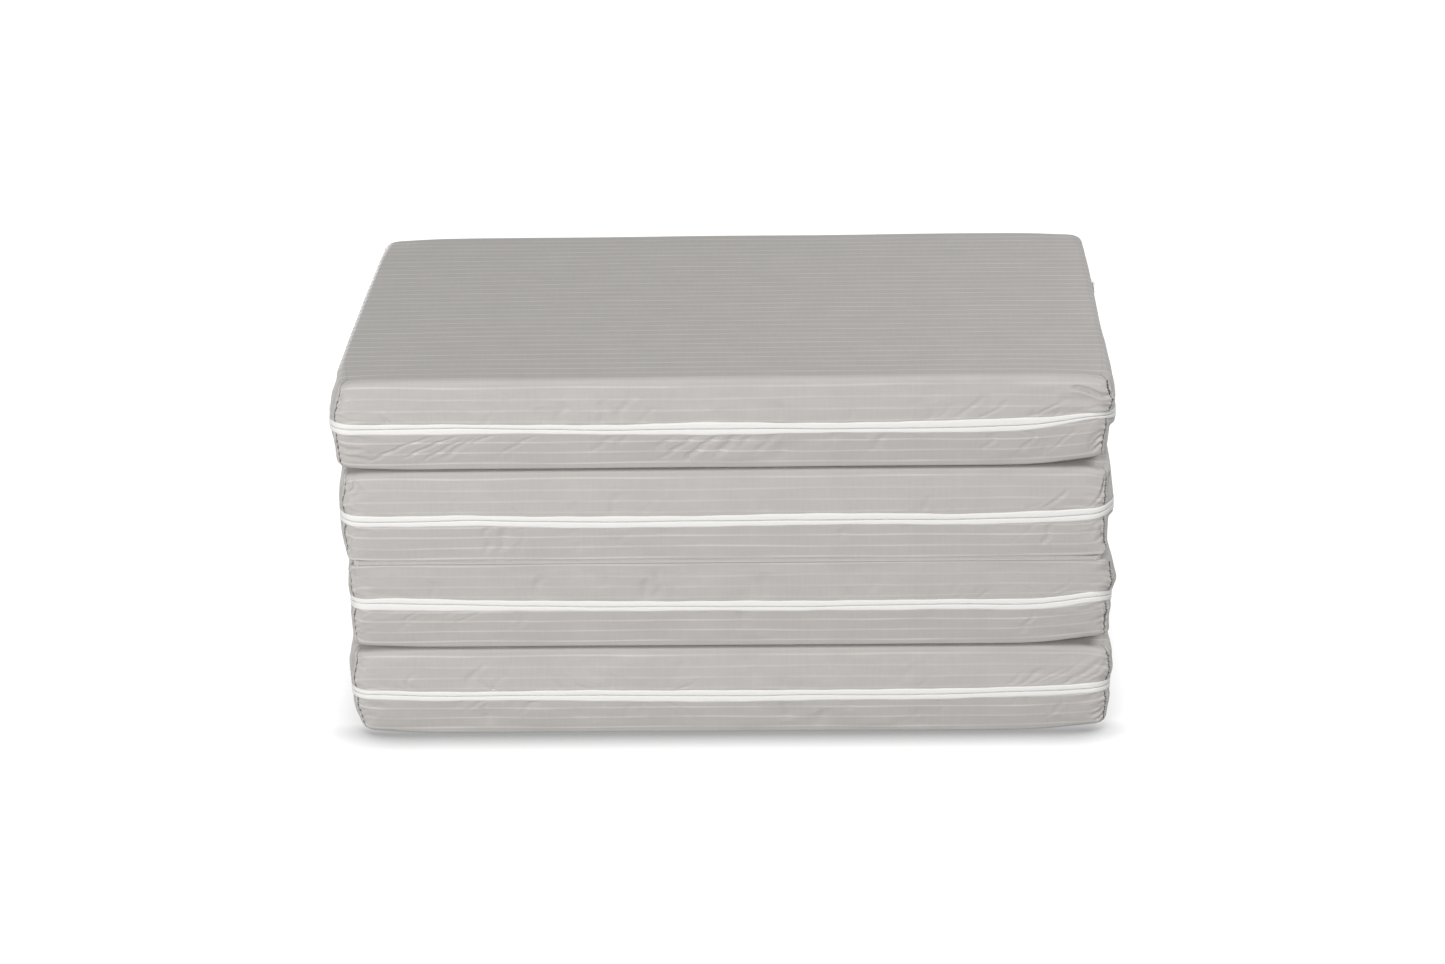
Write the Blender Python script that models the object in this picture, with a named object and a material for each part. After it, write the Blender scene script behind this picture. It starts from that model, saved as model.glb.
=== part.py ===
# Folding foam mattress: four zipped panels sewn edge to edge, stacked in a Z-fold.
# Metres, +Z up, front at -Y. The origin is on the floor, under the middle of the stack.
# A height without another word is measured from a panel's middle plane, where its zip runs.
# An inset is measured inwards from the zip plane, the upright plane that the zip's face lies in.

from math import cos, hypot, pi, radians, sin

import bmesh
import bpy

# Panel, the same for all four
panel_width = 0.796            # along X, over the cover's edges
panel_depth = 0.475            # along Y, from one fold's axis to the other's
panel_thickness = 0.100
panel_gap = 0.0004             # air between two stacked panels
fold_clearance = 0.0003        # every piece stays this far inside its panel's fold axes
touch_gap = 0.0003             # between two pieces that lie on each other

# Cover: two fabric halves with crowned faces, and walls drawn in from the zip to the edges
cover_skin = 0.0010
front_bulge = 0.0050           # how far the zip stands out past the edges, front and back
side_bulge = 0.0050            # the same at the short sides
foam_edge_radius = 0.0107
crown_drop = 0.0025            # from the flat middle of a face down to its edge
fold_foam_edge_radius = 0.0007 # a wall that ends in a sewn fold is nearly straight
fold_crown_drop = 0.0005
crown_shoulder_inset = 0.060
crown_flat_inset = 0.130
zip_corner_radius = 0.025      # in plan, at the zip
edge_corner_radius = 0.006     # in plan, at the edges
shoulder_corner_radius = 0.030
flat_corner_radius = 0.050
hem_height = 0.0058            # half of the width of zip that shows
hem_inset = 0.0004
hem_close_length = 0.008       # behind the zip's end the two hems run together
wall_middle_share = 0.45       # height of the wall's middle ring, from the hem to the edge's arc
wall_curve_share = 0.40        # how much of the bulge is drawn in by that ring
shoulder_drop_share = 0.35     # how much of the crown's drop is left at the shoulder
corner_steps = 4
edge_steps = 3

# Fold binding: a narrow cloth strip sewn over the joint, half of it on each panel
binding_thickness = 0.0008
binding_height = 0.0026
binding_end_inset = 0.022

# Zip: two tapes, with a coil sewn behind each one's free edge
tape_thickness = 0.0008
tape_step_height = 0.0046      # the bare face ends here, and the tape steps in behind the hem
tape_tuck_height = 0.0053
tape_tail_height = 0.0105
chain_half_gap = 0.0005        # from the middle line to each tape and coil
coil_thickness = 0.0015
coil_height = 0.0025
zip_end_inset = 0.040          # from the back's zip plane to the zip's ends on the short sides

# Slider: two plates joined by a web that runs between the tapes, and a bail for the pull
slider_length = 0.0125
slider_nose_half_width = 0.0048
slider_tail_half_width = 0.0038
slider_plate_thickness = 0.0011
slider_web_half_thickness = 0.0002
slider_web_length = 0.0030
slider_web_place_share = 0.25  # from the slider's middle towards its nose, of its length
slider_end_margin = 0.0030     # left between the slider and the end of its run
bail_thickness = 0.0009
bail_half_width = 0.0012
bail_half_length = 0.0036
bail_corner = 0.0010

# A slider's plate in plan: shares of its half length, and of its half width at the nose or the tail
nose_outline_shares = [(0.76, 0.0), (1.0, 0.40), (1.0, 0.80), (0.86, 1.0), (0.30, 1.0)]
tail_outline_shares = [(-0.10, 1.0), (-0.90, 1.0), (-1.0, 0.86)]

# Pull tab
pull_length = 0.026            # from its pivot to its tip
pull_thickness = 0.0012
pull_bar_half_width = 0.0007
pull_arm_width = 0.0012
pull_tip_half_width = 0.0034
pull_eye_clearance = 0.0004
pull_tip_steps = 6

# Looks
cover_colour = (0.50, 0.47, 0.45, 1.0)
foam_colour = (0.86, 0.84, 0.74, 1.0)
zip_colour = (0.86, 0.86, 0.84, 1.0)
metal_colour = (0.72, 0.72, 0.73, 1.0)

# The panels from the floor up. A wall that ends in a sewn fold is named for each cover half.
panels = [
    {"name": "bottom_panel", "upper_fold": "back", "lower_fold": None},
    {"name": "lower_middle_panel", "upper_fold": "front", "lower_fold": "back"},
    {"name": "upper_middle_panel", "upper_fold": "back", "lower_fold": "front"},
    {"name": "top_panel", "upper_fold": None, "lower_fold": "back"},
]

# Places that follow from the sizes
half_thickness = panel_thickness / 2
panel_pitch = panel_thickness + panel_gap
edge_radius = foam_edge_radius + cover_skin + touch_gap
fold_edge_radius = fold_foam_edge_radius + cover_skin + touch_gap
axis_y = panel_depth / 2
zip_plane_x = panel_width / 2 + side_bulge
zip_plane_y = axis_y - fold_clearance
binding_inset = binding_thickness + touch_gap
tuck_inset = hem_inset + cover_skin + touch_gap
coil_inset = tape_thickness + touch_gap
web_end_inset = coil_inset + coil_thickness + touch_gap
side_straight_half = zip_plane_y - zip_corner_radius
zip_end_y = zip_plane_y - zip_end_inset
hem_end_y = zip_end_y + hem_close_length
zip_end_share = (zip_end_y + side_straight_half) / (2 * side_straight_half)
hem_end_share = (hem_end_y + side_straight_half) / (2 * side_straight_half)
zip_path_points = 2 * (corner_steps + 1) + 2
slider_rest_y = zip_end_y - slider_end_margin - slider_length / 2
slider_front_y = -side_straight_half + slider_end_margin + slider_length / 2
slider_travel = slider_rest_y - slider_front_y
plate_base = touch_gap
plate_top = plate_base + slider_plate_thickness
pull_bar_reach = hypot(pull_bar_half_width, pull_thickness / 2)
pull_pivot_height = plate_top + touch_gap + pull_bar_reach
bail_inner_top = pull_pivot_height + pull_bar_reach + touch_gap
bail_outer_top = bail_inner_top + bail_thickness


# Materials
def make_material(name, colour, roughness, metallic):
    material = bpy.data.materials.new(name)
    material.use_nodes = True
    surface = material.node_tree.nodes["Principled BSDF"]
    surface.inputs["Base Color"].default_value = colour
    surface.inputs["Roughness"].default_value = roughness
    surface.inputs["Metallic"].default_value = metallic
    material.diffuse_color = colour
    return material


# Objects: empties carry the folds, and every piece hangs on one of them
world_places = {None: (0.0, 0.0, 0.0)}


def place(thing, world, parent):
    held_at = world_places[parent.name if parent else None]
    thing.parent = parent
    thing.location = [a - b for a, b in zip(world, held_at)]
    world_places[thing.name] = world
    bpy.context.scene.collection.objects.link(thing)


def add_empty(name, world, parent):
    empty = bpy.data.objects.new(name, None)
    empty.empty_display_size = binding_end_inset
    place(empty, world, parent)
    return empty


def add_piece(name, mesh, material, world, parent):
    piece = bpy.data.objects.new(name, mesh)
    if not mesh.materials:
        mesh.materials.append(material)
    place(piece, world, parent)
    return piece


# Meshes
def finish_mesh(name, shape, smooth_degrees):
    bmesh.ops.recalc_face_normals(shape, faces=shape.faces)
    mesh = bpy.data.meshes.new(name)
    shape.to_mesh(mesh)
    shape.free()
    mesh.shade_smooth()
    mesh.set_sharp_from_angle(angle=radians(smooth_degrees))
    return mesh


def convex_split(corners):
    # Cuts a quad along the diagonal that stands further out from the middle of the mesh, so that two
    # surfaces of the same form, one inside the other, bend alike.
    a, b, c, d = [corner.co for corner in corners]
    normal = (c - a).cross(d - b)
    outwards = normal if normal.dot(a + b + c + d) > 0 else -normal
    if outwards.dot(a + c) > outwards.dot(b + d):
        return [(corners[0], corners[1], corners[2]), (corners[0], corners[2], corners[3])]
    return [(corners[0], corners[1], corners[3]), (corners[1], corners[2], corners[3])]


def mesh_from_rings(name, rings, round_trip=False, smooth_degrees=35):
    # Joins loops of equal length one to the next: capped at both ends, or closed into a round trip.
    shape = bmesh.new()
    loops = [[shape.verts.new(point) for point in ring] for ring in rings]
    count = len(loops[0])
    pairs = list(zip(loops, loops[1:]))
    if round_trip:
        pairs.append((loops[-1], loops[0]))
    for first, second in pairs:
        for here in range(count):
            after = (here + 1) % count
            for face in convex_split((first[here], first[after], second[after], second[here])):
                shape.faces.new(face)
    if not round_trip:
        shape.faces.new(loops[0])
        shape.faces.new(loops[-1])
    return finish_mesh(name, shape, smooth_degrees)


# Panel outlines
def corner_arc(centre_x, centre_y, radius, start_degrees, side_height, end_height):
    # A quarter turn in plan. The height passes from the short side's to the front's or back's.
    points = []
    for step in range(corner_steps + 1):
        turn = radians(start_degrees + 90 * step / corner_steps)
        height = side_height * cos(turn) ** 2 + end_height * sin(turn) ** 2
        points.append((centre_x + radius * cos(turn), centre_y + radius * sin(turn), height))
    return points


def panel_ring(side, front, back, corner_radius=None):
    # One level of a panel, anticlockwise from the left end of the zip. Each side is (inset, height).
    x_half = zip_plane_x - side[0]
    y_front = front[0] - zip_plane_y
    y_back = zip_plane_y - back[0]
    front_radius = corner_radius or max(zip_corner_radius - (side[0] + front[0]) / 2, edge_corner_radius)
    back_radius = corner_radius or max(zip_corner_radius - (side[0] + back[0]) / 2, edge_corner_radius)
    low = y_front + front_radius
    high = y_back - back_radius
    zip_end = low + (high - low) * zip_end_share
    hem_end = low + (high - low) * hem_end_share
    ring = [(-x_half, zip_end, side[1])]
    ring += corner_arc(front_radius - x_half, low, front_radius, 180, side[1], front[1])
    ring += corner_arc(x_half - front_radius, low, front_radius, 270, side[1], front[1])
    ring += [(x_half, zip_end, side[1]), (x_half, hem_end, side[1])]
    ring += corner_arc(x_half - back_radius, high, back_radius, 0, side[1], back[1])
    ring += corner_arc(back_radius - x_half, high, back_radius, 90, side[1], back[1])
    ring.append((-x_half, hem_end, side[1]))
    return ring


def wall_levels(bulge, radius, drop, skin):
    # (inset, height) of every level of one wall and its face, from hem to flat, skin deep in the cover.
    arc_height = half_thickness - drop - radius
    middle_height = hem_height + (arc_height - hem_height) * wall_middle_share
    middle_inset = hem_inset + (bulge - hem_inset) * wall_curve_share
    levels = [(hem_inset + skin, hem_height), (middle_inset + skin, middle_height)]
    for step in range(edge_steps + 1):
        turn = pi / 2 * step / edge_steps
        inset = bulge + radius - (radius - skin) * cos(turn)
        levels.append((inset, arc_height + (radius - skin) * sin(turn)))
    levels.append((crown_shoulder_inset, half_thickness - drop * shoulder_drop_share - skin))
    levels.append((crown_flat_inset, half_thickness - skin))
    return levels


def half_rings(fold, skin):
    # The rings of one half of a panel, from the hem to the flat, heights counted towards its face.
    side = wall_levels(side_bulge, edge_radius, crown_drop, skin)
    free = wall_levels(front_bulge, edge_radius, crown_drop, skin)
    sewn = wall_levels(binding_inset, fold_edge_radius, fold_crown_drop, skin)
    front = sewn if fold == "front" else free
    back = sewn if fold == "back" else free
    fixed_radii = [None] * (len(side) - 2) + [shoulder_corner_radius, flat_corner_radius]
    return [panel_ring(*levels) for levels in zip(side, front, back, fixed_radii)]


def turned(ring, direction):
    return [(x, y, direction * height) for x, y, height in ring]


# Pieces of a panel
def cover_mesh(name, fold, direction):
    # A fabric cap: down its outside to the hem and back up its inside. The hems meet behind the zip.
    outside = half_rings(fold, 0)
    inside = half_rings(fold, cover_skin)
    for hem in (outside[0], inside[0]):
        for behind in range(zip_path_points, len(hem)):
            x, y, height = hem[behind]
            hem[behind] = (x, y, touch_gap / 2)
    rings = outside[::-1] + inside
    return mesh_from_rings(name, [turned(ring, direction) for ring in rings])


def foam_mesh(name, upper_fold, lower_fold):
    # The slab fills the cover at its faces and edges, with one straight wall behind the zip.
    depth = cover_skin + touch_gap
    upper = half_rings(upper_fold, depth)[2:]
    lower = [turned(ring, -1) for ring in half_rings(lower_fold, depth)[2:]]
    return mesh_from_rings(name, upper[::-1] + lower)


def zip_strip_mesh(name, section, direction):
    # Sweeps a section of (inset, height) points along the zip: one short side, the front, the other.
    runs = [panel_ring(point, point, point)[:zip_path_points] for point in section]
    stations = [turned(station, direction) for station in zip(*runs)]
    return mesh_from_rings(name, stations)


def tape_section():
    # The bare face at the zip plane, a step in behind the hem, and a tail that leans with the wall.
    wall_top = half_thickness - crown_drop - edge_radius
    lean = (max(side_bulge, front_bulge) - hem_inset) * wall_curve_share
    lean /= (wall_top - hem_height) * wall_middle_share
    tail_inset = tuck_inset + lean * (tape_tail_height - tape_tuck_height)
    face = [(0.0, chain_half_gap), (0.0, tape_step_height)]
    tail = [(tuck_inset, tape_tuck_height), (tail_inset, tape_tail_height)]
    outer = face + tail
    inner = [(inset + tape_thickness, height) for inset, height in outer]
    inner[1] = (tape_thickness, tape_step_height - tape_thickness / 2)
    inner[2] = (tuck_inset + tape_thickness, tape_tuck_height - tape_thickness / 2)
    return outer + inner[::-1]


def coil_section():
    back = coil_inset + coil_thickness
    top = chain_half_gap + coil_height
    return [(coil_inset, chain_half_gap), (coil_inset, top), (back, top), (back, chain_half_gap)]


def binding_mesh(name, end, direction):
    # Half of a fold's binding strip, upright on its panel's wall, up to the fold's axis.
    x_half = panel_width / 2 - binding_end_inset
    top = half_thickness + panel_gap / 2 - touch_gap / 2
    sign = -1 if end == "front" else 1
    section = [
        (sign * zip_plane_y, top - binding_height),
        (sign * zip_plane_y, top),
        (sign * (zip_plane_y - binding_thickness), top),
        (sign * (zip_plane_y - binding_thickness), top - binding_height),
    ]
    ends = [[(x, y, z) for y, z in section] for x in (-x_half, x_half)]
    return mesh_from_rings(name, [turned(end, direction) for end in ends])


# Slider and pull, modelled with X away from the wall and the slider's nose towards +Y
def extruded(name, outline, axis, low, high):
    # A flat outline given in the other two axes, drawn out along one axis from low to high.
    ends = []
    for level in (low, high):
        ends.append([point[:axis] + (level,) + point[axis:] for point in outline])
    return mesh_from_rings(name, ends)


def plate_outline(shrink):
    # A slider's plate in Y and Z: square tail, wide nose with a notch between its two mouths.
    half_length = slider_length / 2 - shrink
    half = []
    for half_width, shares in (
        (slider_nose_half_width - shrink, nose_outline_shares),
        (slider_tail_half_width - shrink, tail_outline_shares),
    ):
        half += [(half_length * along, half_width * across) for along, across in shares]
    return half + [(y, -z) for y, z in half[:0:-1]]


def bail_outline():
    # The bail in X and Y: an arch that stands on the upper plate, open below for the pull's bar.
    foot = plate_top - slider_plate_thickness / 2
    inner_half = bail_half_length - bail_thickness
    inner_corner = bail_corner - bail_thickness / 2
    outer = [(foot, bail_half_length), (bail_outer_top - bail_corner, bail_half_length)]
    outer.append((bail_outer_top, bail_half_length - bail_corner))
    inner = [(bail_inner_top, inner_half - inner_corner), (bail_inner_top - inner_corner, inner_half)]
    inner.append((foot, inner_half))
    far_outer = [(x, -y) for x, y in outer[::-1]]
    far_inner = [(x, -y) for x, y in inner[::-1]]
    return outer + far_outer + far_inner + inner


def slider_mesh():
    web_centre = slider_length * slider_web_place_share
    near, far = web_centre - slider_web_length / 2, web_centre + slider_web_length / 2
    inner, outer = -web_end_inset - slider_plate_thickness / 2, plate_base + slider_plate_thickness / 2
    web_outline = [(inner, near), (outer, near), (outer, far), (inner, far)]
    lower_plate_far = -web_end_inset - slider_plate_thickness
    meshes = [
        extruded("upper_plate", plate_outline(0.0), 0, plate_base, plate_top),
        extruded("lower_plate", plate_outline(touch_gap), 0, lower_plate_far, -web_end_inset),
        extruded("web", web_outline, 2, -slider_web_half_thickness, slider_web_half_thickness),
        extruded("bail", bail_outline(), 2, -bail_half_width, bail_half_width),
    ]
    blocks = []
    for mesh in meshes:
        block = bpy.data.objects.new(mesh.name, mesh)
        bpy.context.scene.collection.objects.link(block)
        blocks.append(block)
    for other in blocks[1:]:
        union = blocks[0].modifiers.new(other.name, "BOOLEAN")
        union.operation = "UNION"
        union.object = other
    graph = bpy.context.evaluated_depsgraph_get()
    joined = bpy.data.meshes.new_from_object(blocks[0].evaluated_get(graph))
    joined.name = "zip_slider"
    for block in blocks:
        bpy.data.objects.remove(block)
    joined.set_sharp_from_angle(angle=radians(35))
    return joined


def pull_mesh():
    # A flat tab that points to -Y, with a bar on the pivot and an eye that clears the bail.
    eye_half = bail_half_width + pull_eye_clearance
    arm_half = eye_half + pull_arm_width
    bail_reach = hypot(bail_half_length, bail_outer_top - pull_pivot_height)
    eye_end = bail_reach + pull_eye_clearance
    tip_centre = pull_length - pull_tip_half_width
    outer = [(pull_bar_half_width, arm_half), (pull_bar_half_width, -arm_half), (-eye_end, -arm_half)]
    inner = [(-pull_bar_half_width, eye_half), (-pull_bar_half_width, -eye_half), (-eye_end, -eye_half)]
    for step in range(pull_tip_steps + 1):
        share = step / pull_tip_steps
        turn = pi * share
        outer.append((-tip_centre - pull_tip_half_width * sin(turn), -pull_tip_half_width * cos(turn)))
        inner.append((-eye_end, -eye_half * (1 - 2 * (step + 1) / (pull_tip_steps + 2))))
    outer.append((-eye_end, arm_half))
    inner.append((-eye_end, eye_half))
    half = pull_thickness / 2
    loops = []
    for outline, level in ((outer, -half), (outer, half), (inner, half), (inner, -half)):
        loops.append([(level, y, z) for y, z in outline])
    return mesh_from_rings("zip_pull", loops, round_trip=True)


# Assembly
def build_panel(panel, centre_z, parent, materials, slider_shape, pull_shape):
    name = panel["name"]
    centre = (0.0, 0.0, centre_z)
    add_piece(f"{name}_foam_core", foam_mesh(name + "_foam", panel["upper_fold"], panel["lower_fold"]),
              materials["foam"], centre, parent)
    for half, direction in (("upper", 1), ("lower", -1)):
        fold = panel[f"{half}_fold"]
        add_piece(f"{name}_{half}_cover", cover_mesh(f"{name}_{half}_cover", fold, direction),
                  materials["cover"], centre, parent)
        add_piece(f"{name}_{half}_zip_tape", zip_strip_mesh(f"{half}_tape", tape_section(), direction),
                  materials["zip_tape"], centre, parent)
        add_piece(f"{name}_{half}_zip_coil", zip_strip_mesh(f"{half}_coil", coil_section(), direction),
                  materials["zip_coil"], centre, parent)
        if fold:
            add_piece(f"{name}_{fold}_fold_binding", binding_mesh(f"{half}_binding", fold, direction),
                      materials["binding"], centre, parent)
    slider = add_piece(f"{name}_zip_slider", slider_shape, materials["metal"],
                       (zip_plane_x, slider_rest_y, centre_z), parent)
    add_piece(f"{name}_zip_pull", pull_shape, materials["metal"],
              (zip_plane_x + pull_pivot_height, slider_rest_y, centre_z), slider)


def build():
    for thing in list(bpy.data.objects):
        bpy.data.objects.remove(thing)
    materials = {
        "cover": make_material("cover_fabric", cover_colour, 0.75, 0.0),
        "binding": make_material("binding_fabric", cover_colour, 0.80, 0.0),
        "foam": make_material("foam", foam_colour, 0.95, 0.0),
        "zip_tape": make_material("zip_tape", zip_colour, 0.80, 0.0),
        "zip_coil": make_material("zip_coil", zip_colour, 0.45, 0.0),
        "metal": make_material("slider_metal", metal_colour, 0.30, 1.0),
    }
    slider_shape = slider_mesh()
    pull_shape = pull_mesh()
    parent = add_empty("mattress", (0.0, 0.0, 0.0), None)
    for number, panel in enumerate(panels):
        fold = panel["lower_fold"]
        if fold:
            fold_y = -axis_y if fold == "front" else axis_y
            fold_z = number * panel_pitch - panel_gap / 2
            parent = add_empty(f"{panel['name']}_fold_axis", (0.0, fold_y, fold_z), parent)
        centre_z = number * panel_pitch + half_thickness
        build_panel(panel, centre_z, parent, materials, slider_shape, pull_shape)
        print(panel["name"], "centre at", round(centre_z, 4))
    print("slider rests at y", round(slider_rest_y, 5), "and travels", round(slider_travel, 5))
    print("pull pivots at x", round(zip_plane_x + pull_pivot_height, 5))


build()
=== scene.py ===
from math import cos, pi, radians, sin

import bmesh
import bpy
import numpy as np
from mathutils import Matrix, Vector


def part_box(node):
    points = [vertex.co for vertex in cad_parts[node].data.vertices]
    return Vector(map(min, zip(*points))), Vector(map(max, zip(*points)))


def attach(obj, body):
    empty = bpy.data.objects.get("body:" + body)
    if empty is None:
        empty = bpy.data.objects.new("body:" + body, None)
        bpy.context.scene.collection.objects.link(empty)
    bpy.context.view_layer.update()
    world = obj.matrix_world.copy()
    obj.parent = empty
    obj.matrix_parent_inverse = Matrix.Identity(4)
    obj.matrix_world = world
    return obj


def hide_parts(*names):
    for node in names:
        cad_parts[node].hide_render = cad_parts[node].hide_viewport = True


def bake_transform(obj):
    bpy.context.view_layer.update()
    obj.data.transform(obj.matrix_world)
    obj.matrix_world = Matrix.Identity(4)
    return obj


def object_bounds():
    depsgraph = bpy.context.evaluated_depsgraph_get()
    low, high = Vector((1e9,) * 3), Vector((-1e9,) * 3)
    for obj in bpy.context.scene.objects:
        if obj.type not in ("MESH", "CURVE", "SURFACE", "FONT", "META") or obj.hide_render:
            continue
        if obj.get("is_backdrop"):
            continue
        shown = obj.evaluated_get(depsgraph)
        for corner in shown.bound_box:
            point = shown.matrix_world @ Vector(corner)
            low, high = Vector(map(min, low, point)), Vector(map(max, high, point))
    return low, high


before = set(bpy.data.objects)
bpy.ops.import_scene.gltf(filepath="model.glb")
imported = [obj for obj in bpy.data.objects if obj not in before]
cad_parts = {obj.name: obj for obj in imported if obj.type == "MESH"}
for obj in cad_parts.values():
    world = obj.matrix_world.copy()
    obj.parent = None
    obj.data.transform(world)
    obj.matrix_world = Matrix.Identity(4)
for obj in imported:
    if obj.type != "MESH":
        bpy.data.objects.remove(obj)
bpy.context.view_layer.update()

mm = 0.001

# The stack, as the CAD model has it: a panel's zip runs round its middle plane
stack = {
    "halfWidth": 0.4030,  # to the plane of the zip at the short sides
    "halfDepth": 0.2372,  # the same at front and back
    "halfThickness": 0.0500,
    "zipCornerRadius": 0.0250,  # in plan, at the zip
    "edgeCornerRadius": 0.0110,  # the smallest one, on the faces
    "zipEndDepth": 0.1972,  # the zip ends here on both short sides
    "hemEndDepth": 0.2052,  # and the two hems have run together here
}

# What is particular to a panel, in millimetres.
# folds: the side where each half is sewn to its neighbour. rests: the halves that lie on another panel.
# narrows: the half whose short sides lean in. slack: how creased the walls are.
# upperHem, lowerHem, line: at each of zipPlaces along the front, the upper hem's height over the panel's middle,
# the lower hem's depth under it, and the height of the fine line between the tapes.
# Pull: how far the front corners stand in (out, below zero) at each of pullHeights. Round: the same for the tips.
# drop, tip: how far each half's front corners droop, left and right, over a broad and a short reach.
zipPlaces = [-370, -320, -260, -190, -145, -100, -60, -20, 20, 60, 110, 180, 225, 265, 300, 330, 352, 376]
pullHeights = [-50, -38, -20, 0, 20, 38, 50]
panels = {
    "top_panel": {
        "folds": {"upper": None, "lower": "back"}, "rests": ("lower",), "narrows": "upper", "slack": 1.4,
        "seed": 11,
        "upperHem": [4, 3.4, 3.3, 1.9, 1.6, 1.4, 2.1, 3.8, 3.3, 1.6, 1.8, 1.9, 3.2, 4.1, 4.8, 5.6, 7.3, 9.7],
        "lowerHem": [7.9, 7.9, 7.9, 7.4, 8.9, 9.7, 9.6, 10.9, 10.7, 9.6, 9.4, 9.4, 10.4, 10.3, 9.1, 6.4, 2.3, -2.7],
        "line": [-1.8, -1.2, -0.9, -2.6, -4, -4.5, -4.2, -4, -4.1, -4.4, -5, -5.1, -4.8, -4.4, -3.2, -1.1, 1.8, 5.2],
        "leftPull": [-1, -2.5, -1.8, -4.1, -2, 0.8, 0.8], "leftRound": 4.5,
        "rightPull": [2.8, 4.5, 4.8, 3, -3.8, -2.2, -1], "rightRound": 1.5,
        "drop": {"upper": (0.8, 2.5), "lower": (0.6, 6)}, "tip": {"upper": (1.5, 2), "lower": (1.5, 1.5)},
    },
    "upper_middle_panel": {
        "folds": {"upper": "back", "lower": "front"}, "rests": ("upper", "lower"), "narrows": None, "slack": 1,
        "seed": 23,
        "upperHem": [2.8, 2.4, 3.2, 0.8, 0.8, 1, 0.3, 0.4, 1.5, 1.8, 2.5, 1.6, 0.5, 0.8, 1.9, 3, 4, 5.2],
        "lowerHem": [9.4, 9.7, 8.9, 11.1, 12.4, 12.6, 11.9, 12.2, 11.6, 11, 10.5, 10.5, 11.7, 11.9, 10.6, 9.6, 9.7,
                     7.9],
        "line": [-4.2, -3.8, -2.6, -4.3, -5.5, -5.7, -5.3, -5.1, -5.2, -5.2, -5.1, -5.3, -5.6, -5.4, -4.7, -4.1,
                 -3.1, -1.7],
        "leftPull": [1, 0, -1.1, -0.8, -0.5, 1, 0], "leftRound": 5.5,
        "rightPull": [1, 1.5, 4, 2.8, 3, -0.2, -1], "rightRound": 1.5,
        "drop": {"upper": (0.5, 0.6), "lower": (0.3, 0.5)}, "tip": {"upper": (1.5, 3.5), "lower": (0.8, 0.8)},
    },
    "lower_middle_panel": {
        "folds": {"upper": "front", "lower": "back"}, "rests": ("upper", "lower"), "narrows": None, "slack": 1,
        "seed": 37,
        "upperHem": [10.8, 9.8, 7.7, 6.2, 6.1, 5.2, 4.6, 5, 4.9, 4.4, 4.6, 4.5, 5.4, 4.8, 4.6, 5.8, 7.9, 12],
        "lowerHem": [3.4, 4.1, 5.2, 4.9, 5.8, 6.1, 6.2, 6, 6.3, 7, 6.8, 7.1, 6.6, 6.6, 7.4, 7.4, 4.9, 0.1],
        "line": [5, 3.5, 2, 0.2, -0.8, -1.1, -1.1, -1.4, -2, -2.3, -1.9, -0.9, -0.3, -0.8, -1.3, -0.4, 2, 6],
        "leftPull": [3, 3.3, 4.5, 5.6, 3.5, 2.9, 1.7], "leftRound": 4,
        "rightPull": [-1.5, -1.2, -0.4, -0.8, -5.5, -3.6, -1.5], "rightRound": 1.5,
        "drop": {"upper": (0.3, 0.5), "lower": (0.6, 6)}, "tip": {"upper": (0.8, 0.8), "lower": (1.2, 1.5)},
    },
    "bottom_panel": {
        "folds": {"upper": "back", "lower": None}, "rests": ("upper", "lower"), "narrows": None, "slack": 1.35,
        "seed": 53,
        "upperHem": [4.4, 2.9, 2, 3.3, 3.4, 3, 2.6, 2.5, 2.5, 2.3, 2.1, 2.9, 2.8, 3.6, 4.6, 5.1, 5.7, 8.4],
        "lowerHem": [5.9, 8.6, 7.7, 8.4, 9.2, 10.1, 10.7, 11, 11.1, 10.6, 9.4, 9.8, 9.2, 8.1, 7.3, 6.3, 5.3, 3.6],
        "line": [-0.2, -2.4, -2.7, -2.2, -2.5, -2.9, -3.4, -4, -4.1, -3.6, -3.4, -4, -3.5, -2.4, -1.3, -0.6, 0.4,
                 1.9],
        "leftPull": [6, 4.2, 1.5, -0.8, -2, -0.3, 0], "leftRound": 5.5,
        "rightPull": [1.3, -1.8, -2, -1.6, -4.2, -4.6, -4], "rightRound": 1.5,
        "drop": {"upper": (0.8, 1), "lower": (1.6, 4.5)}, "tip": {"upper": (1.2, 3), "lower": (1.2, 2)},
    },
}
sideHem = 4.8  # the hems' height at the back half of the left side, and
sliderHem = 5.4  # along the right side, where the sliders run between them
zipEnds = {  # how the three curves go on past zipPlaces, in metres along the zip
    "left": [-0.8, -0.455],  # from the second on, they hold the left side's height
    "right": [0.386, 0.420, 0.8],  # the corner, and the stretch with the right side's height
    "climb": 0.35,  # how much of its last step a curve still climbs at the corner
    "shutHem": 0.00015,  # the hems' height where they have run together
}
ways = {"upper": 1, "lower": -1}  # along z
sides = {"front": -1, "back": 1}  # along y

for name, panel in panels.items():
    low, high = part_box(f"{name}_foam_core")
    panel["middle"] = (low.z + high.z) / 2
print("frame loaded,", len(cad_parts), "nodes")


# Small tools
def smooth(share):
    # The smooth step: 3 t squared less 2 t cubed, with t held between 0 and 1.
    held = np.clip(share, 0, 1)
    return held * held * (3 - 2 * held)


def softCurve(points, places, blur=0.04):
    # Straight lines between the points, averaged with a raised cosine as wide as blur.
    grid = np.arange(-1.4, 1.4, 0.002)
    xs, ys = zip(*points)
    window = np.hanning(int(blur / 0.002) | 1)
    line = np.interp(grid, xs, ys)
    padded = np.pad(line, len(window) // 2, mode="edge")
    return np.interp(places, grid, np.convolve(padded, window / window.sum(), mode="valid"))


def bell(away, reach):
    # A soft bump: the exponential of less the square of away / reach.
    return np.exp(-(away / reach) ** 2)


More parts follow.
